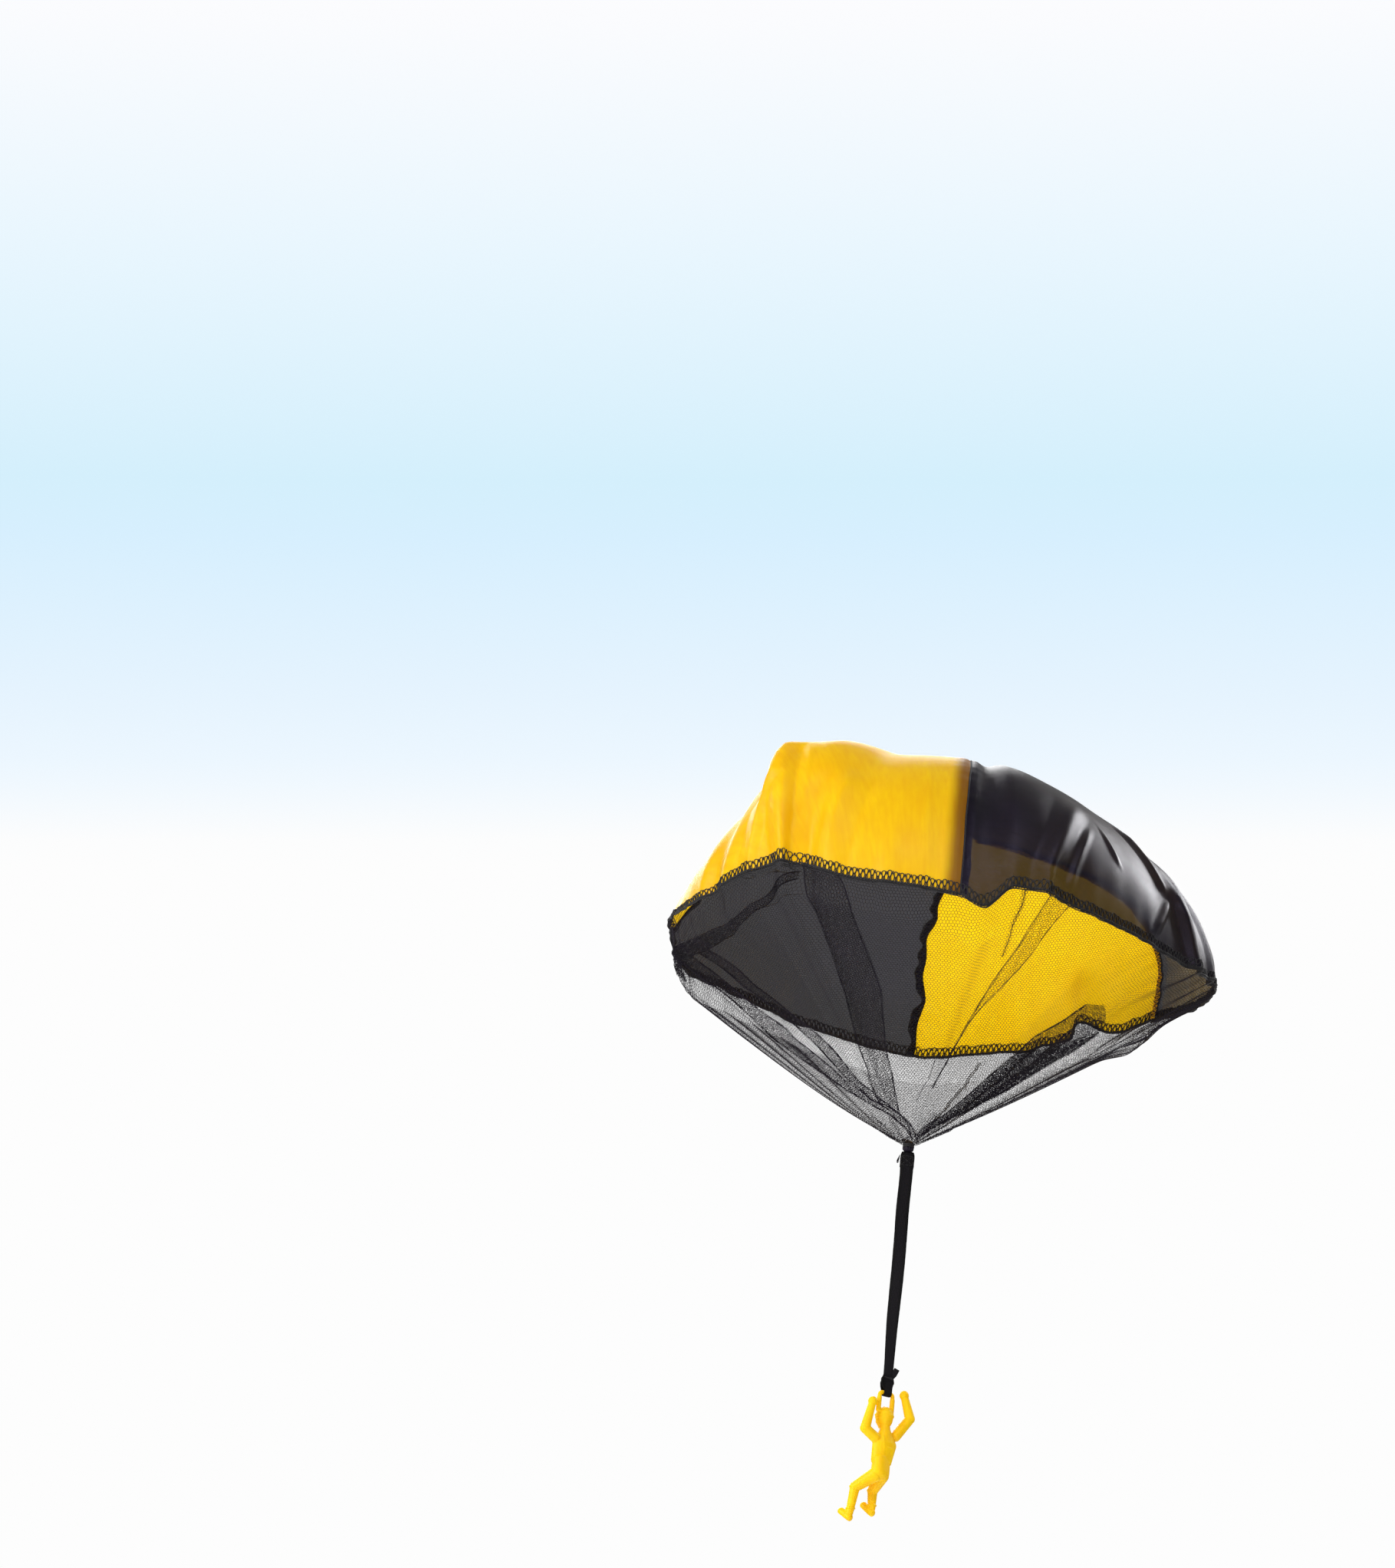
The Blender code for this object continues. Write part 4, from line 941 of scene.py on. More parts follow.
def netPlace(azimuth, way, lift=0.0):
    # reads the skirt's table between its points; lift is in millimetres outwards
    i = np.mod(azimuth, 360) / netStep
    j = np.clip(way, 0, 1) * (len(netWays) - 1)
    i0, j0 = np.floor(i).astype(int), np.minimum(np.floor(j).astype(int), len(netWays) - 2)
    u, v = (i - i0)[..., None], (j - j0)[..., None]
    i0, i1 = i0 % len(netTurns), (i0 + 1) % len(netTurns)

    def read(table):
        above = table[i0, j0] * (1 - u) + table[i1, j0] * u
        below = table[i0, j0 + 1] * (1 - u) + table[i1, j0 + 1] * u
        return above * (1 - v) + below * v

    normal = unit(read(netNormals))
    return read(netPoints) + normal * np.asarray(lift * mm)[..., None], normal


def netDegree(way, least):
    # millimetres to a degree round the cone
    return np.radians(1) * np.maximum(1 - way, least) * canopyShape["rimRadius"] / mm


def honeycomb(turn=0.0, shift=(0.0, 0.0)):
    # the flat net: both ends of every yarn between two knots
    cell = netShape["cell"] * mm
    side = cell / math.sqrt(3)
    reach = int(netShape["flatReach"] / side)
    i, j = np.meshgrid(np.arange(-reach, reach + 1), np.arange(-reach, reach + 1), indexing="ij")
    base = np.stack([cell * (i + j / 2), 1.5 * side * j], -1).reshape(-1, 2)
    base = base[np.hypot(base[:, 0], base[:, 1]) < netShape["flatReach"]]
    knot = base + [0, side]
    starts = np.concatenate([base, knot, knot])
    ends = np.concatenate([knot, base + [cell / 2, 1.5 * side], base + [-cell / 2, 1.5 * side]])
    c, s = math.cos(turn), math.sin(turn)
    spin = np.array([[c, s], [-s, c]])
    loose = [(7.1, 11.3, 0.4), (5.3, -8.9, 2.2), (13.7, 6.1, 4.0)]
    out = []
    for place in (starts, ends):
        place = place @ spin + np.array(shift) * mm
        x, y = place[:, 0] / mm, place[:, 1] / mm
        out.append(place + netShape["stray"] * mm * np.stack([wander(x, y, loose), wander(y, -x, loose)], -1))
    return out


def onCone(starts, ends):
    # azimuth and way of the middle and both ends of each yarn, and which yarns lie on the net
    def polar(place):
        return np.degrees(np.arctan2(place[:, 1], place[:, 0])), np.hypot(place[:, 0], place[:, 1])

    middleTurn = np.mod(polar((starts + ends) / 2)[0], 360)
    found = []
    for place in ((starts + ends) / 2, starts, ends):
        turn, radius = polar(place)
        turn = middleTurn + apart(turn, middleTurn)
        azimuth = netShape["cutAt"] + turn * 360 / netShape["sector"]
        slant = np.interp(np.mod(azimuth, 360), netTurns, netSlants, period=360)
        found.append((azimuth, 1 - (radius - netShape["tieReach"]) / slant))
    way = found[0][1]
    return found, (middleTurn < netShape["sector"]) & (way > 0.0) & (way < netShape["lastYarn"])


def inside(outline, azimuth, way):
    # even and odd crossings of the outline, with azimuths taken near its own
    outline = np.array(outline, float)
    azimuth = outline[0, 0] + apart(azimuth, outline[0, 0])
    hit = np.zeros(azimuth.shape, bool)
    for (x0, y0), (x1, y1) in zip(outline, np.roll(outline, -1, 0)):
        crosses = (y0 > way) != (y1 > way)
        hit ^= crosses & (azimuth < x0 + (way - y0) / (y1 - y0 if y1 != y0 else 1e-9) * (x1 - x0))
    return hit


def yarns(start, end, lift):
    # three-sided yarns, each a little longer than its gap so that they meet at the knots
    half = netShape["yarn"] * mm / 2
    (first, firstOut), (last, lastOut) = netPlace(*start, lift), netPlace(*end, lift)
    along = unit(last - first)
    rings = []
    for place, out in ((first - along * half * 0.5, firstOut), (last + along * half * 0.5, lastOut)):
        side = unit(np.cross(out, along)) * half
        low = place - out * half * 0.5
        rings.append(np.stack([low + side, low - side, place + out * half], 1))
    one = np.array([[0, 1, 4, 3], [1, 2, 5, 4], [2, 0, 3, 5]])
    faces = (one[None] + 6 * np.arange(len(first))[:, None, None]).reshape(-1, 4)
    return np.concatenate(rings, 1).reshape(-1, 3), faces


def joined(parts):
    points, faces, start = [], [], 0
    for p, f in parts:
        points.append(p)
        faces.append(f + start)
        start += len(p)
    return np.concatenate(points), np.concatenate(faces)


layers = []  # azimuths and ways of the middle, start and end of each yarn, then its lift
found, keep = onCone(*honeycomb())
layers.append(([(a[keep], w[keep]) for a, w in found], 0.0))
crowdStart, crowdLayers = netShape["crowd"]
for k, lift in enumerate(netShape["lifts"]):
    found, keep = onCone(*honeycomb(0.35 + 0.5 * k, (0.7, 0.4 + 0.5 * k)))
    turn, way = np.radians(found[0][0]), found[0][1]
    doubled = (way > crowdStart + 0.05 * np.sin(turn * 7)) & (np.sin(turn * 11 + k) > 0.3) & (k < crowdLayers)
    for more, outline in foldOutlines():
        if k < more:
            doubled |= inside(outline, *found[0])
    keep &= doubled
    layers.append(([(a[keep], w[keep]) for a, w in found], lift))


def addFoldEdges():
    routes = []
    gone = np.linspace(0, 1, 60)
    for row, (count, line) in enumerate(netShape["edges"].values()):
        azimuth, way = [np.interp(gone, np.linspace(0, 1, len(line)), column) for column in np.array(line).T]
        for k in range(count):
            sway = 0.22 * wander(gone * 60, k + 0 * gone, [(17, 5.3, row + k), (7.3, 3.9, 2.0 * k), (31, 8, row)])
            across = (k - (count - 1) / 2) * 0.24 * (0.5 + 0.5 * np.sin(gone * np.pi + 0.4)) + sway
            lift = 0.7 + 0.35 * np.sin(2.4 * k + gone * 9)
            routes.append(netPlace(azimuth + across / netDegree(way, 0.04), way, lift)[0])
    edges = threads("netFoldEdges", routes, netShape["yarn"] * mm * 0.6, blackTulle, sides=3)
    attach(edges, "canopy")
    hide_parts("net_skirt")


addFoldEdges()
for name, (first, last) in netShape["gores"].items():
    parts, count = [], []
    for (middle, *ends), lift in layers:
        mine = (middle[0] >= first) & (middle[0] < last)
        start, end = [(azimuth[mine], way[mine]) for azimuth, way in ends]
        parts.append(yarns(start, end, lift))
        count.append(int(mine.sum()))
    gore = meshFrom(name, *joined(parts), blackTulle)
    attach(gore, "canopy")
    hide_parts("net_skirt")
    # the columns of the skirt's table that lie in this gore
    mine = np.mod(netTurns - first, 360) < last - first
    print("net", name, count, "yarns")


# Net's closing seam: both edges lapped and sewn with a crooked zigzag

# the azimuth it lies at, share of the way at both ends, then millimetres
closingShape = {"azimuth": 78, "first": 0.085, "last": 0.865, "pitch": 1.7, "half": 0.75, "thread": 0.16}


def addClosing():
    slant = float(np.interp(closingShape["azimuth"], netTurns, netSlants)) / mm
    down = np.arange(0, (closingShape["last"] - closingShape["first"]) * slant, 0.28)
    way = closingShape["first"] + down / slant
    sway = 0.8 * wander(down, down * 0, [(23, 900, 0.3), (9.5, 900, 1.9), (41, 900, 4.0)])
    zigzag = np.abs((down / closingShape["pitch"]) % 2 - 1) * 2 - 1
    routes = []
    for side, lift in ((zigzag, 0.42), (0 * down - 1.0, 0.3), (0 * down + 1.0, 0.3)):
        azimuth = closingShape["azimuth"] + (side * closingShape["half"] + sway) / netDegree(way, 0.05)
        routes.append(netPlace(azimuth, way, np.full(len(way), lift))[0])
    seam = threads("netClosingSeam", routes, closingShape["thread"] * mm, blackThread)
    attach(seam, "canopy")
    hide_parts("net_closing_seam")


addClosing()
print("net is closed")


# Gather: the bunched net and the thread wound round it

tieShape = {"radius": 2.9, "height": 3.1, "middle": -0.25, "lobes": 13, "turns": 11, "thread": 0.22}


def addTie():
    columns, rows = 96, 25
    turns, heights = np.linspace(0, 2 * np.pi, columns + 1)[:-1], np.linspace(-1, 1, rows)
    t, h = np.meshgrid(turns, heights, indexing="ij")
    lumps = 1 + 0.06 * np.sin(tieShape["lobes"] * t + 1.5 * h) * (1 - h**4) + 0.03 * np.sin(5 * t + 4 * h)
    plump = np.sqrt(np.maximum(1 - np.abs(h) ** np.where(h < 0, 6, 3), 0))
    waist = plump * (1 - 0.12 * np.exp(-(h / 0.25) ** 2)) * lumps * tieShape["radius"]
    points = np.stack([waist * np.cos(t), waist * np.sin(t), h * tieShape["height"] + tieShape["middle"]], -1)
    bunch = meshFrom("netBunch", points * mm + netShape["gather"], gridFaces(columns, rows, wrap=True), blackTulle)
    weld(bunch, 2e-6)
    step = np.linspace(0, 1, tieShape["turns"] * 28)
    angle = step * tieShape["turns"] * 2 * np.pi
    high = 0.75 * np.sin(step * 2 * np.pi * 1.5) + 0.12 * np.sin(angle * 0.31)
    out = tieShape["radius"] * 0.93 + 0.12 + 0.14 * np.abs(np.sin(step * np.pi * 3))
    route = np.stack([out * np.cos(angle), out * np.sin(angle), high], -1) * mm + netShape["gather"]
    winding = threads("tieThread", [route], tieShape["thread"] * mm, blackThread, sides=6)
    for piece in (bunch, winding):
        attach(piece, "neck")
        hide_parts("gather_tie")


addTie()


# Strap: one length of flat webbing, folded and sewn at the top, and sewn round the helmet ring

strapShape = {
    "ringCentre": (-0.0149, -0.025, -0.3237),
    # millimetres from the gather: sideways, away, up, then width, thickness and turn in degrees
    "web": [
        (0.0, 0.80, -11.7, 7.5, 1.15, 0), (0.0, 0.86, -9.0, 7.6, 1.15, 0), (0.0, 0.84, -6.5, 7.6, 1.15, 0),
        (0.0, 0.74, -5.0, 7.2, 1.1, 0), (0.0, 0.5, -4.05, 6.6, 1.0, 0), (0.0, 0.0, -3.7, 6.4, 1.0, 0),
        (0.0, -0.5, -4.05, 6.6, 1.0, 0), (0.0, -0.74, -5.0, 7.2, 1.1, 0), (0.0, -0.84, -6.5, 7.6, 1.15, 0),
        (0.0, -0.84, -9.0, 7.5, 1.15, 0), (0.05, -0.78, -11.8, 7.2, 1.15, 0), (0.1, -0.35, -15.5, 7.0, 1.2, 0),
        (0.05, 0.0, -21.0, 6.9, 1.2, -2), (-0.15, 0.1, -34.0, 7.0, 1.2, 2), (0.1, 0.05, -50.0, 6.9, 1.2, 3),
        (0.2, -0.1, -66.0, 6.9, 1.25, -2), (0.0, 0.0, -82.0, 6.7, 1.3, -3), (-0.2, 0.1, -96.0, 6.2, 1.4, 1),
        (-0.1, 0.05, -108.0, 5.6, 1.5, 4), (0.05, 0.0, -118.0, 5.1, 1.6, 6), (0.05, 0.0, -125.3, 4.95, 1.6, 10),
    ],
    # millimetres from the ring's bar, in the same order
    "foot": [
        (0.0, -0.35, 9.85, 4.9, 1.0, 10), (-0.1, -0.55, 8.8, 5.4, 1.05, 14), (-0.3, -0.95, 7.6, 6.6, 1.1, 22),
        (-0.7, -1.35, 6.0, 7.8, 1.0, 30), (-0.8, -1.6, 4.5, 7.9, 0.9, 35), (-0.5, -1.62, 3.2, 6.4, 0.7, 35),
        (-0.1, -1.55, 1.6, 5.0, 0.6, 35), (0.0, -1.5, 0.0, 4.8, 0.6, 35), (0.0, -1.32, -0.85, 4.8, 0.6, 35),
        (0.0, -0.78, -1.42, 4.8, 0.6, 35), (0.0, 0.0, -1.6, 4.8, 0.6, 35), (0.0, 0.78, -1.42, 4.8, 0.6, 35),
        (0.0, 1.32, -0.85, 4.8, 0.6, 35), (0.0, 1.5, 0.0, 4.8, 0.6, 35), (0.0, 1.55, 1.6, 5.0, 0.6, 35),
        (0.0, 1.62, 3.2, 6.2, 0.8, 35), (0.2, 1.5, 4.4, 7.3, 1.0, 35), (0.3, 1.25, 5.8, 7.0, 1.1, 28),
        (0.1, 0.9, 7.4, 6.0, 1.1, 20), (0.1, 0.5, 9.4, 4.9, 1.0, 10),
    ],
    "corner": [(2.0, 0.1, 7.6, 1.2, 0.9, 0), (2.9, 0.05, 9.4, 2.6, 1.0, 0), (3.6, 0.0, 11.2, 3.0, 1.0, 0),
               (4.4, 0.0, 13.0, 2.9, 0.95, 0)],
    "thread": 0.17,
    # the sewn box at the top, with its cross: half width, top and foot, then how far the cross stays inside
    "box": (3.1, -6.0, -11.0, 0.1, 0.2),
    # the bar of zigzag stitches at the foot: half width, height, half its own height, stitches, turn
    "bar": (2.1, 7.4, 0.75, 15, 20),
}


# Woven polypropylene webbing, dyed black: plump herringbone ribs between firm selvedges
def blackWebbing():
    material, tree = startMaterial("blackPolypropyleneWebbing")
    flat = node(tree, "UVMap", uv_map="flatCut").outputs[0]
    split = node(tree, "SeparateXYZ", {0: flat}).outputs
    across = maths(tree, "ABSOLUTE", split[1])
    slope = maths(tree, "ADD", split[0], maths(tree, "PINGPONG", across, 2.2))
    rib = maths(tree, "SINE", maths(tree, "MULTIPLY", slope, 2 * math.pi / 0.8))
    warp = maths(tree, "SINE", maths(tree, "MULTIPLY", split[1], 2 * math.pi / 0.55))
    edge = mapped(tree, across, 1.4, 3.1, 1.0, 0.0)
    tone = maths(tree, "MULTIPLY", edge, noise(tree, flat, 1.3, 4.0))
    colour = ramp(tree, tone, [(0.15, "#050406"), (0.6, "#0E0B11")])
    bump = bumped(tree, maths(tree, "MULTIPLY_ADD", warp, 0.6, rib), 0.5, 0.00012)
    return finishMaterial(material, node(tree, "BsdfPrincipled", {
        "Base Color": colour, "Roughness": 0.62, "Specular IOR Level": 0.13, "Normal": bump}))


webbing = blackWebbing()


def smoothRoute(rows, spacing):
    # a curve through the rows, at an even spacing in millimetres
    rows = np.array(rows, float)
    gone = lengthAlong(rows[:, :3])
    slopes = np.gradient(rows, gone, axis=0)
    at = np.linspace(0, gone[-1], int(gone[-1] / spacing) + 1)
    k = np.clip(np.searchsorted(gone, at, side="right") - 1, 0, len(gone) - 2)
    span = (gone[k + 1] - gone[k])[:, None]
    return curve((at - gone[k])[:, None] / span, rows[k], span * slopes[k], rows[k + 1], span * slopes[k + 1]), at


def addWeb(name, rows, origin, spacing=0.5, sway=0.06):
    rows, gone = smoothRoute(rows, spacing)
    width, thickness, turn = rows[:, 3:4], rows[:, 4:5], np.radians(rows[:, 5])
    side = np.stack([np.cos(turn), np.sin(turn), 0 * turn], -1)
    ahead = np.stack([-np.sin(turn), np.cos(turn), 0 * turn], -1)
    middle = side * rows[:, :1] + ahead * rows[:, 1:2] + np.array([0, 0, 1]) * rows[:, 2:3]
    along = unit(np.gradient(middle, axis=0))
    side = unit(side - along * np.sum(side * along, -1, keepdims=True))
    face = np.cross(along, side)
    around = np.linspace(0, 2 * np.pi, 45)[:-1]
    c, s = np.cos(around), np.sin(around)
    x = np.sign(c) * np.abs(c) ** 0.55
    y = np.sign(s) * np.abs(s) ** 0.42
    uneven = wander(gone, gone * 0, [(3.1, 900, 0.2), (7.7, 900, 1.0), (17, 900, 3.0)])
    flat = width / 2 * (1 + 0.012 * uneven[:, None]) * x
    bow = sway * thickness * np.sin(gone / 6.1)[:, None] * (1 - x**2)
    level = middle[:, None] + side[:, None] * flat[..., None]
    rings = level + face[:, None] * (thickness / 2 * y + bow)[..., None]
    # each end closes on the middle line of its own ring
    rings = np.concatenate([level[:1], rings, level[-1:]]).transpose(1, 0, 2)
    flat = np.concatenate([flat[:1], flat, flat[-1:]]).T
    gone = np.broadcast_to(np.concatenate([gone[:1], gone, gone[-1:]]), flat.shape)
    web = meshFrom(name, rings * mm + np.array(origin), gridFaces(*flat.shape, wrap=True), webbing,
                   np.stack([gone, flat], -1).reshape(-1, 2))
    weld(web)
    return web


def stitchLine(corners, origin, stitch=1.9, gap=0.5, sink=0.16):
    # a row of stitches on a flat face, through corners in millimetres
    corners = np.array(corners, float)
    routes = []
    for start, end in zip(corners[:-1], corners[1:]):
        count = max(1, int(round(float(np.linalg.norm(end - start)) / (stitch + gap))))
        for k in range(count):
            at = (k + np.array([0.06, 0.2, 0.5, 0.8, 0.94]) * 0.9 + 0.05) / count
            dash = start + (end - start) * at[:, None]
            dash[:, 1] -= np.sign(dash[:, 1]) * sink * np.array([1.6, 0.2, 0, 0.2, 1.6])
            routes.append(dash * mm + np.array(origin))
    return routes


def addStrap():
    gather, ring = netShape["gather"], strapShape["ringCentre"]
    thread = strapShape["thread"] * mm
    web = addWeb("strapWeb", strapShape["web"], gather)
    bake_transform(web)
    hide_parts("strap", "strap_top_hem")
    wide, top, low, inX, inZ = strapShape["box"]
    cross, crossTop, crossLow = wide - inX, top - inZ, low + inZ
    box = []
    for y in (-1.50, 1.50):
        box += stitchLine([(-wide, y, top), (wide, y, top), (wide, y, low), (-wide, y, low), (-wide, y, top)], gather)
        box += stitchLine([(-cross, y, crossTop), (cross, y, crossLow)], gather)
        box += stitchLine([(cross, y, crossTop), (-cross, y, crossLow)], gather)
    hem = threads("strapHemStitches", box, thread, blackThread)
    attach(hem, "strap")
    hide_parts("strap_top_hem")
    foot = addWeb("strapFoot", strapShape["foot"], ring, 0.3, 0.0)
    corner = addWeb("strapSpareCorner", strapShape["corner"], ring, 0.3, 0.0)
    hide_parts("strap_knot", "strap_loop")
    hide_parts("knot_tail")
    # a dense bar of zigzag stitches holds the foot together
    half, middle, high, stitches, turn = strapShape["bar"]
    step = np.linspace(0, 1, stitches * 8)
    bars = []
    for sign in (-1, 1):
        x, y = turned(half * (step * 2 - 1), sign * (1.36 + 0.12 * np.abs(np.cos(step * stitches * np.pi))), turn)
        z = middle + high * np.sin(step * stitches * 2 * np.pi)
        bars.append(np.stack([x, y, z], -1) * mm + np.array(ring))
    bar = threads("strapFootStitches", bars, thread, blackThread)
    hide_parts("strap_knot")
    for piece in (foot, corner, bar):
        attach(piece, "knot")


addStrap()


# Net tail: the cut end of the bunched net, which shows beside the strap

tailShape = {"lengthways": 16, "crossways": 7, "yarn": 0.1}


def addNetTail():
    routes = []
    count = tailShape["lengthways"]
    for k in range(count):
        way = np.linspace(0, 1, 9)
        spread = (k / (count - 1) - 0.5) * 2
        lean = 0.75 * way * (0.5 + 0.5 * np.sin(k * 2.4))
        x = -4.15 - 0.75 * way - lean + 0.12 * np.sin(way * 9 + k * 1.7)
        y = 0.28 * spread * (0.6 + 0.6 * way) + 0.08 * np.sin(way * 7 + k)
        z = -5.35 - (3.4 + 1.2 * np.sin(k * 1.9 + 0.6) ** 2) * way
        routes.append(np.stack([x, y, z], -1) * mm + np.array(netShape["gather"]))
    for k in range(tailShape["crossways"]):
        way = np.linspace(0, 1, 7)
        x, y = -4.2 - 1.1 * way * (0.35 + k / 9), 0.25 * np.sin(way * 6 + k)
        z = -5.9 - 0.55 * k - 0.5 * way + 0.1 * np.sin(way * 8)
        routes.append(np.stack([x, y, z], -1) * mm + np.array(netShape["gather"]))
    tail = threads("netTail", routes, tailShape["yarn"] * mm, blackTulle, sides=3)
    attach(tail, "strap")
    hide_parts("net_tail")


addNetTail()
print("gather and strap are made")


# Skydiver: one soft plastic moulding with its helmet ring. Places are shares of its height from the
# middle of the ring's bar: to the side, away and up; bodies are half widths, depths and heights.

figureShape = {
    "height": 72.0,
    "turn": 35, "hipsTurn": 60,
    "places": {
        "head": (0.001, 0.011, -0.180), "neck": (0.015, -0.009, -0.279), "chest": (0.018, -0.009, -0.376),
        "waist": (0.007, -0.025, -0.491), "hips": (0.005, -0.041, -0.583),
        "leftShoulder": (-0.047, -0.056, -0.343), "rightShoulder": (0.092, 0.035, -0.298),
        "leftElbow": (-0.129, -0.092, -0.286), "rightElbow": (0.184, 0.089, -0.151),
        "leftHand": (-0.091, -0.078, -0.084), "rightHand": (0.129, 0.069, 0.010),
        "leftHip": (-0.031, -0.062, -0.607), "rightHip": (0.019, -0.014, -0.600),
        "leftKnee": (-0.163, 0.006, -0.692), "rightKnee": (-0.037, 0.092, -0.692),
        "leftAnkle": (-0.186, 0.003, -0.879), "rightAnkle": (-0.033, 0.093, -0.815),
        "leftHeel": (-0.189, 0.004, -0.912), "rightHeel": (-0.034, 0.090, -0.847),
        "leftToe": (-0.244, 0.036, -0.870), "rightToe": (-0.090, 0.124, -0.797),
    },
    "bodies": {
        "head": (0.0635, 0.064, 0.081), "helmet": (0.066, 0.069, 0.064), "throat": (0.035, 0.035, 0.040),
        "nape": (0.043, 0.037, 0.028), "collar": (0.046, 0.038, 0.030), "chest": (0.098, 0.062, 0.060),
        "waist": (0.084, 0.057, 0.054), "hips": (0.085, 0.062, 0.060), "shoulder": (0.039, 0.039, 0.039),
        "elbow": (0.0375, 0.0375, 0.0375), "wrist": (0.0275, 0.0275, 0.027), "hand": (0.036, 0.032, 0.036),
        "hip": (0.053, 0.053, 0.053), "knee": (0.039, 0.039, 0.039), "shin": (0.037, 0.037, 0.037),
        "ankle": (0.027, 0.029, 0.029), "heel": (0.031, 0.031, 0.031), "toe": (0.028, 0.028, 0.027),
    },
    "helmetRise": 1.4, "soleDepth": 1.6,
    "ringWire": 1.12, "ringHalfWidth": 4.1, "ringCorner": 1.6, "ringFoot": 4.18, "ringLow": -9.36,
    # millimetres forward and up from the middle of the head, then half sizes
    "face": {
        "gogglesBridge": (4.45, 0.2, (0.6, 0.42, 0.4)), "nose": (4.25, -1.25, (0.52, 0.68, 0.95)),
        "upperLip": (4.05, -2.75, (1.1, 0.42, 0.26)), "lowerLip": (3.9, -3.3, (0.85, 0.42, 0.26)),
        "chin": (2.9, -4.3, (1.4, 1.1, 0.95)),
    },
    "voxel": 0.26,
}


# Soft injection-moulded polyethylene, dyed yellow through: waxy, lets light in, with a fine matt grain
def yellowPlastic():
    material, tree = startMaterial("yellowPolyethylene")
    where = node(tree, "TexCoord").outputs["Object"]
    cloud = noise(tree, where, 70.0, 3.0)
    colour = ramp(tree, cloud, [(0.3, "#FBC000"), (0.7, "#FFCF02")])
    grain, flow = noise(tree, where, 1900.0, 2.0), noise(tree, where, 260.0, 1.0)
    bump = bumped(tree, maths(tree, "MULTIPLY_ADD", flow, 2.2, grain), 0.07, 0.00012)
    return finishMaterial(material, node(tree, "BsdfPrincipled", {
        "Base Color": colour, "Roughness": mapped(tree, cloud, 0.3, 0.7, 0.42, 0.52), "IOR": 1.51,
        "Specular IOR Level": 0.2, "Subsurface Weight": 0.35, "Subsurface Radius": (0.0030, 0.0022, 0.0004),
        "Subsurface Scale": 1.0, "Normal": bump}))


def figurePlace(name):
    return np.array(strapShape["ringCentre"]) / mm + np.array(figureShape["places"][name]) * figureShape["height"]


ballMeshes = {}


def addBall(centre, size, turn):
    # an ellipsoid, centre and half sizes in millimetres, whose mesh is shared until all are joined
    fine = 3 if min(size) > 1.2 else 2
    if fine not in ballMeshes:
        bpy.ops.mesh.primitive_ico_sphere_add(subdivisions=fine, radius=mm)
        ballMeshes[fine] = bpy.context.active_object.data
        bpy.data.objects.remove(bpy.context.active_object)
    ball = bpy.data.objects.new("ball", ballMeshes[fine])
    place = Matrix.Translation([float(x) * mm for x in centre]) @ Matrix.Rotation(math.radians(turn), 4, "Z")
    ball.matrix_world = place @ Matrix.Diagonal([float(x) for x in size] + [1.0])
    bpy.context.scene.collection.objects.link(ball)


def addLimb(start, end, startBody, endBody, turn, balls=9):
    for way in np.linspace(0, 1, balls):
        addBall(start + (end - start) * way, startBody + (endBody - startBody) * way, turn)


def aside(turn):
    # sideways and forward directions of something turned round the upright
    turn = math.radians(turn)
    return np.array([math.cos(turn), math.sin(turn), 0]), np.array([-math.sin(turn), math.cos(turn), 0])


def addRib(centre, size, turn, wire, first=0, last=360, count=40, tilt=0.0):
    # a raised line round a level ellipse, from one angle to another; tilt raises its front
    side, ahead = aside(turn)
    for angle in np.radians(np.linspace(first, last, count)):
        place = centre + side * size[0] * math.cos(angle) + ahead * size[1] * math.sin(angle)
        addBall(place + np.array([0, 0, tilt * math.sin(angle)]), (wire, wire, wire), turn)


def addTrunk(body, up):
    turn, hipsTurn = figureShape["turn"], figureShape["hipsTurn"]
    head, neck, chest, waist, hips = [figurePlace(name) for name in ("head", "neck", "chest", "waist", "hips")]
    addBall(head, body["head"], turn)
    addBall(head + up * figureShape["helmetRise"], body["helmet"], turn)
    addLimb(head, neck, body["throat"], body["nape"], turn)
    addLimb(neck, chest, body["collar"], body["chest"], turn)
    addLimb(chest, waist, body["chest"], body["waist"], turn)
    addLimb(waist, hips, body["waist"], body["hips"], hipsTurn)


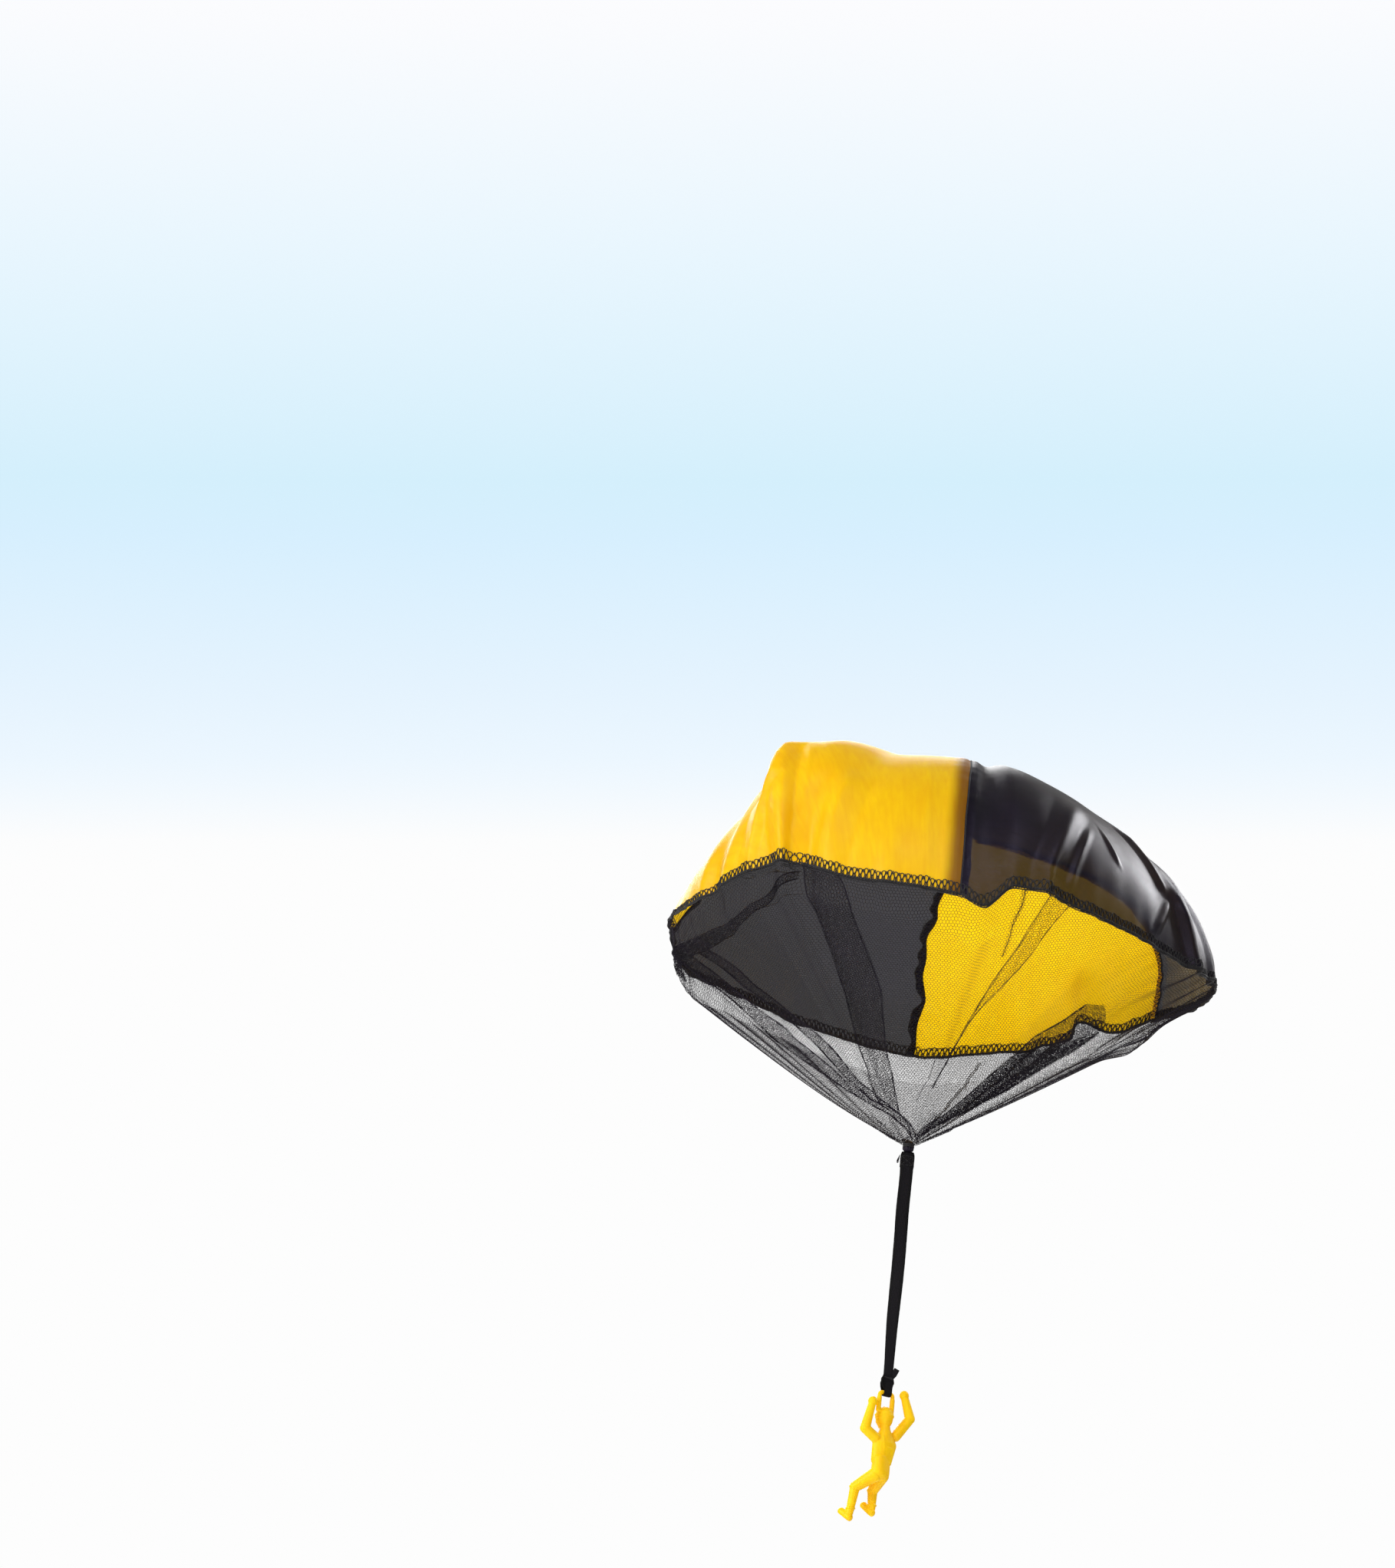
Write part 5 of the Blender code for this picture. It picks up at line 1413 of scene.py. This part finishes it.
def addArmAndLeg(which, body, side, ahead):
    turn, hipsTurn = figureShape["turn"], figureShape["hipsTurn"]
    shoulder, elbow, hand = [figurePlace(which + part) for part in ("Shoulder", "Elbow", "Hand")]
    addLimb(shoulder, elbow, body["shoulder"], body["elbow"], turn)
    addLimb(elbow, hand, body["elbow"], body["wrist"], turn, 13)
    addBall(hand, body["hand"], turn)
    reach = (hand - elbow) / np.linalg.norm(hand - elbow)
    # knuckles and thumb of the fist, and the cuff below it
    for k in np.arange(4) - 1.5:
        addBall(hand + reach * (1.15 - 0.25 * abs(k)) + side * k * 0.82 + ahead * 0.75, (0.52, 0.62, 0.95), turn)
    inwards = side * (-1.5 if which == "left" else 1.5)
    addBall(hand + inwards + ahead * 0.35 + reach * 0.2, (0.6, 0.75, 1.1), turn)
    addRib(hand - reach * 2.3, (1.55, 1.65), turn, 0.34, count=24)
    # leg and boot, with the boot's rim and the knee's pad
    hip, knee, ankle, heel, toe = [figurePlace(which + part) for part in ("Hip", "Knee", "Ankle", "Heel", "Toe")]
    addLimb(hip, knee, body["hip"], body["knee"], hipsTurn, 13)
    addLimb(knee, ankle, body["shin"], body["ankle"], hipsTurn, 13)
    addLimb(heel, toe, body["heel"], body["toe"], hipsTurn)
    addRib(ankle + (knee - ankle) * 0.16, (2.25, 2.3), hipsTurn, 0.4, count=36)
    addRib(knee, (2.86, 2.86), hipsTurn, 0.3, 30, 150, 16)


def addHeadDetail(side, ahead, up):
    turn, head = figureShape["turn"], figurePlace("head")
    # helmet: its brim, and the goggles pushed against it
    addRib(head + up * 0.75, (4.62, 4.8), turn, 0.42, 200, 340, 36, -0.5)
    addRib(head + up * 1.15, (4.66, 4.86), turn, 0.50, 20, 160, 40, 0.35)
    for sign in (-1, 1):
        addRib(head + up * 0.2, (4.5, 4.66), turn, 0.36, 90 + sign * 38, 90 + sign * 100, 20)
        addBall(head + ahead * 4.1 + side * sign * 1.55 + up * 0.15, (1.35, 0.75, 0.92), turn)
    # a plain face, with its cheeks and the straps beside them
    for forward, high, size in figureShape["face"].values():
        addBall(head + ahead * forward + up * high, size, turn)
    for sign in (-1, 1):
        addBall(head + ahead * 3.0 + side * sign * 1.9 - up * 1.9, (1.2, 1.0, 1.2), turn)
        addRib(head - up * 1.4 + side * sign * 0.3, (4.35, 3.6), turn, 0.32, 90 - sign * 78, 90 - sign * 88, 4)


def addHarness(side, ahead, up):
    # shoulder straps and chest strap, front and back, then the belt and its buckle
    turn, chest, waist = figureShape["turn"], figurePlace("chest"), figurePlace("waist")
    for sign in (-1, 1):
        for t in np.linspace(0, 1, 26):
            place = chest + up * (3.4 - 8.5 * t) + side * sign * (2.9 - 0.5 * t)
            deep = 3.05 + 0.95 * math.sin(min(1.0, t * 1.5) * math.pi / 2)
            for way in (-1, 1):
                addBall(place + ahead * way * deep, (0.62, 0.36, 0.5), turn)
    for t in np.linspace(-1, 1, 17):
        for way in (-1, 1):
            addBall(chest - up * 2.2 + side * 2.7 * t + ahead * way * (4.28 - 0.35 * t * t), (0.5, 0.36, 0.55), turn)
    belt, beltTurn = waist - up * 1.4, 0.5 * (turn + figureShape["hipsTurn"])
    addRib(belt, (5.55, 3.82), beltTurn, 0.55, count=70)
    addBall(belt + aside(beltTurn)[1] * 3.9, (1.1, 0.5, 0.85), beltTurn)


def addRing(side, up):
    # the ring's wire, up from the helmet, over the bar and down again
    f = figureShape
    w, c = f["ringHalfWidth"], f["ringCorner"]
    route = [(-f["ringFoot"], f["ringLow"])]
    for x, first, last in ((c - w, 180, 90), (w - c, 90, 0)):
        route += [(x + c * math.cos(a), c * (math.sin(a) - 1)) for a in np.radians(np.linspace(first, last, 8))]
    route = np.array(route + [(f["ringFoot"], f["ringLow"])])
    gone = lengthAlong(route)
    for at in np.linspace(0, gone[-1], 90):
        x, z = [np.interp(at, gone, column) for column in route.T]
        wire = f["ringWire"] + 0.2 * smoothStep((-z - 2) / 1.5)
        addBall(np.array(strapShape["ringCentre"]) / mm + side * x + up * z, [wire] * 3, f["turn"])


def flattenSoles(figure):
    points = np.empty(len(figure.data.vertices) * 3)
    figure.data.vertices.foreach_get("co", points)
    points = points.reshape(-1, 3) / mm
    for which in ("left", "right"):
        heel, toe = figurePlace(which + "Heel"), figurePlace(which + "Toe")
        along = (toe - heel) / np.linalg.norm(toe - heel)
        down = unit(along * along[2] - np.array([0, 0, 1.0]))
        beyond = (points - heel) @ down - figureShape["soleDepth"]
        near = (np.linalg.norm(points - (heel + toe) / 2, axis=1) < 9) & (beyond > 0)
        points[near] -= down * beyond[near, None]
    figure.data.vertices.foreach_set("co", (points * mm).ravel())
    figure.data.update()


def addFigure():
    body = {name: np.array(size) * figureShape["height"] for name, size in figureShape["bodies"].items()}
    side, ahead = aside(figureShape["turn"])
    up = np.array([0, 0, 1.0])
    bpy.ops.object.select_all(action="DESELECT")
    known = set(bpy.context.scene.objects)
    addTrunk(body, up)
    for which in ("left", "right"):
        addArmAndLeg(which, body, side, ahead)
    addHeadDetail(side, ahead, up)
    addHarness(side, ahead, up)
    addRing(side, up)
    parts = [thing for thing in bpy.context.scene.objects if thing not in known]
    for thing in parts:
        thing.select_set(True)
    figure = parts[0]
    bpy.context.view_layer.objects.active = figure
    bpy.ops.object.make_single_user(type="SELECTED_OBJECTS", object=True, obdata=True)
    bpy.ops.object.join()
    figure.name = "skydiverFigure"
    bpy.ops.object.transform_apply(location=True, rotation=True, scale=True)
    fuse = figure.modifiers.new("fuse", "REMESH")
    fuse.mode = "VOXEL"
    fuse.voxel_size = figureShape["voxel"] * mm
    soften = figure.modifiers.new("soften", "SMOOTH")
    soften.factor, soften.iterations = 0.5, 3
    for name in ("fuse", "soften"):
        bpy.ops.object.modifier_apply(modifier=name)
    flattenSoles(figure)
    figure.data.materials.clear()
    figure.data.materials.append(yellowPlastic())
    figure.data.shade_smooth()
    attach(figure, "skydiver")
    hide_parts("figure")


addFigure()
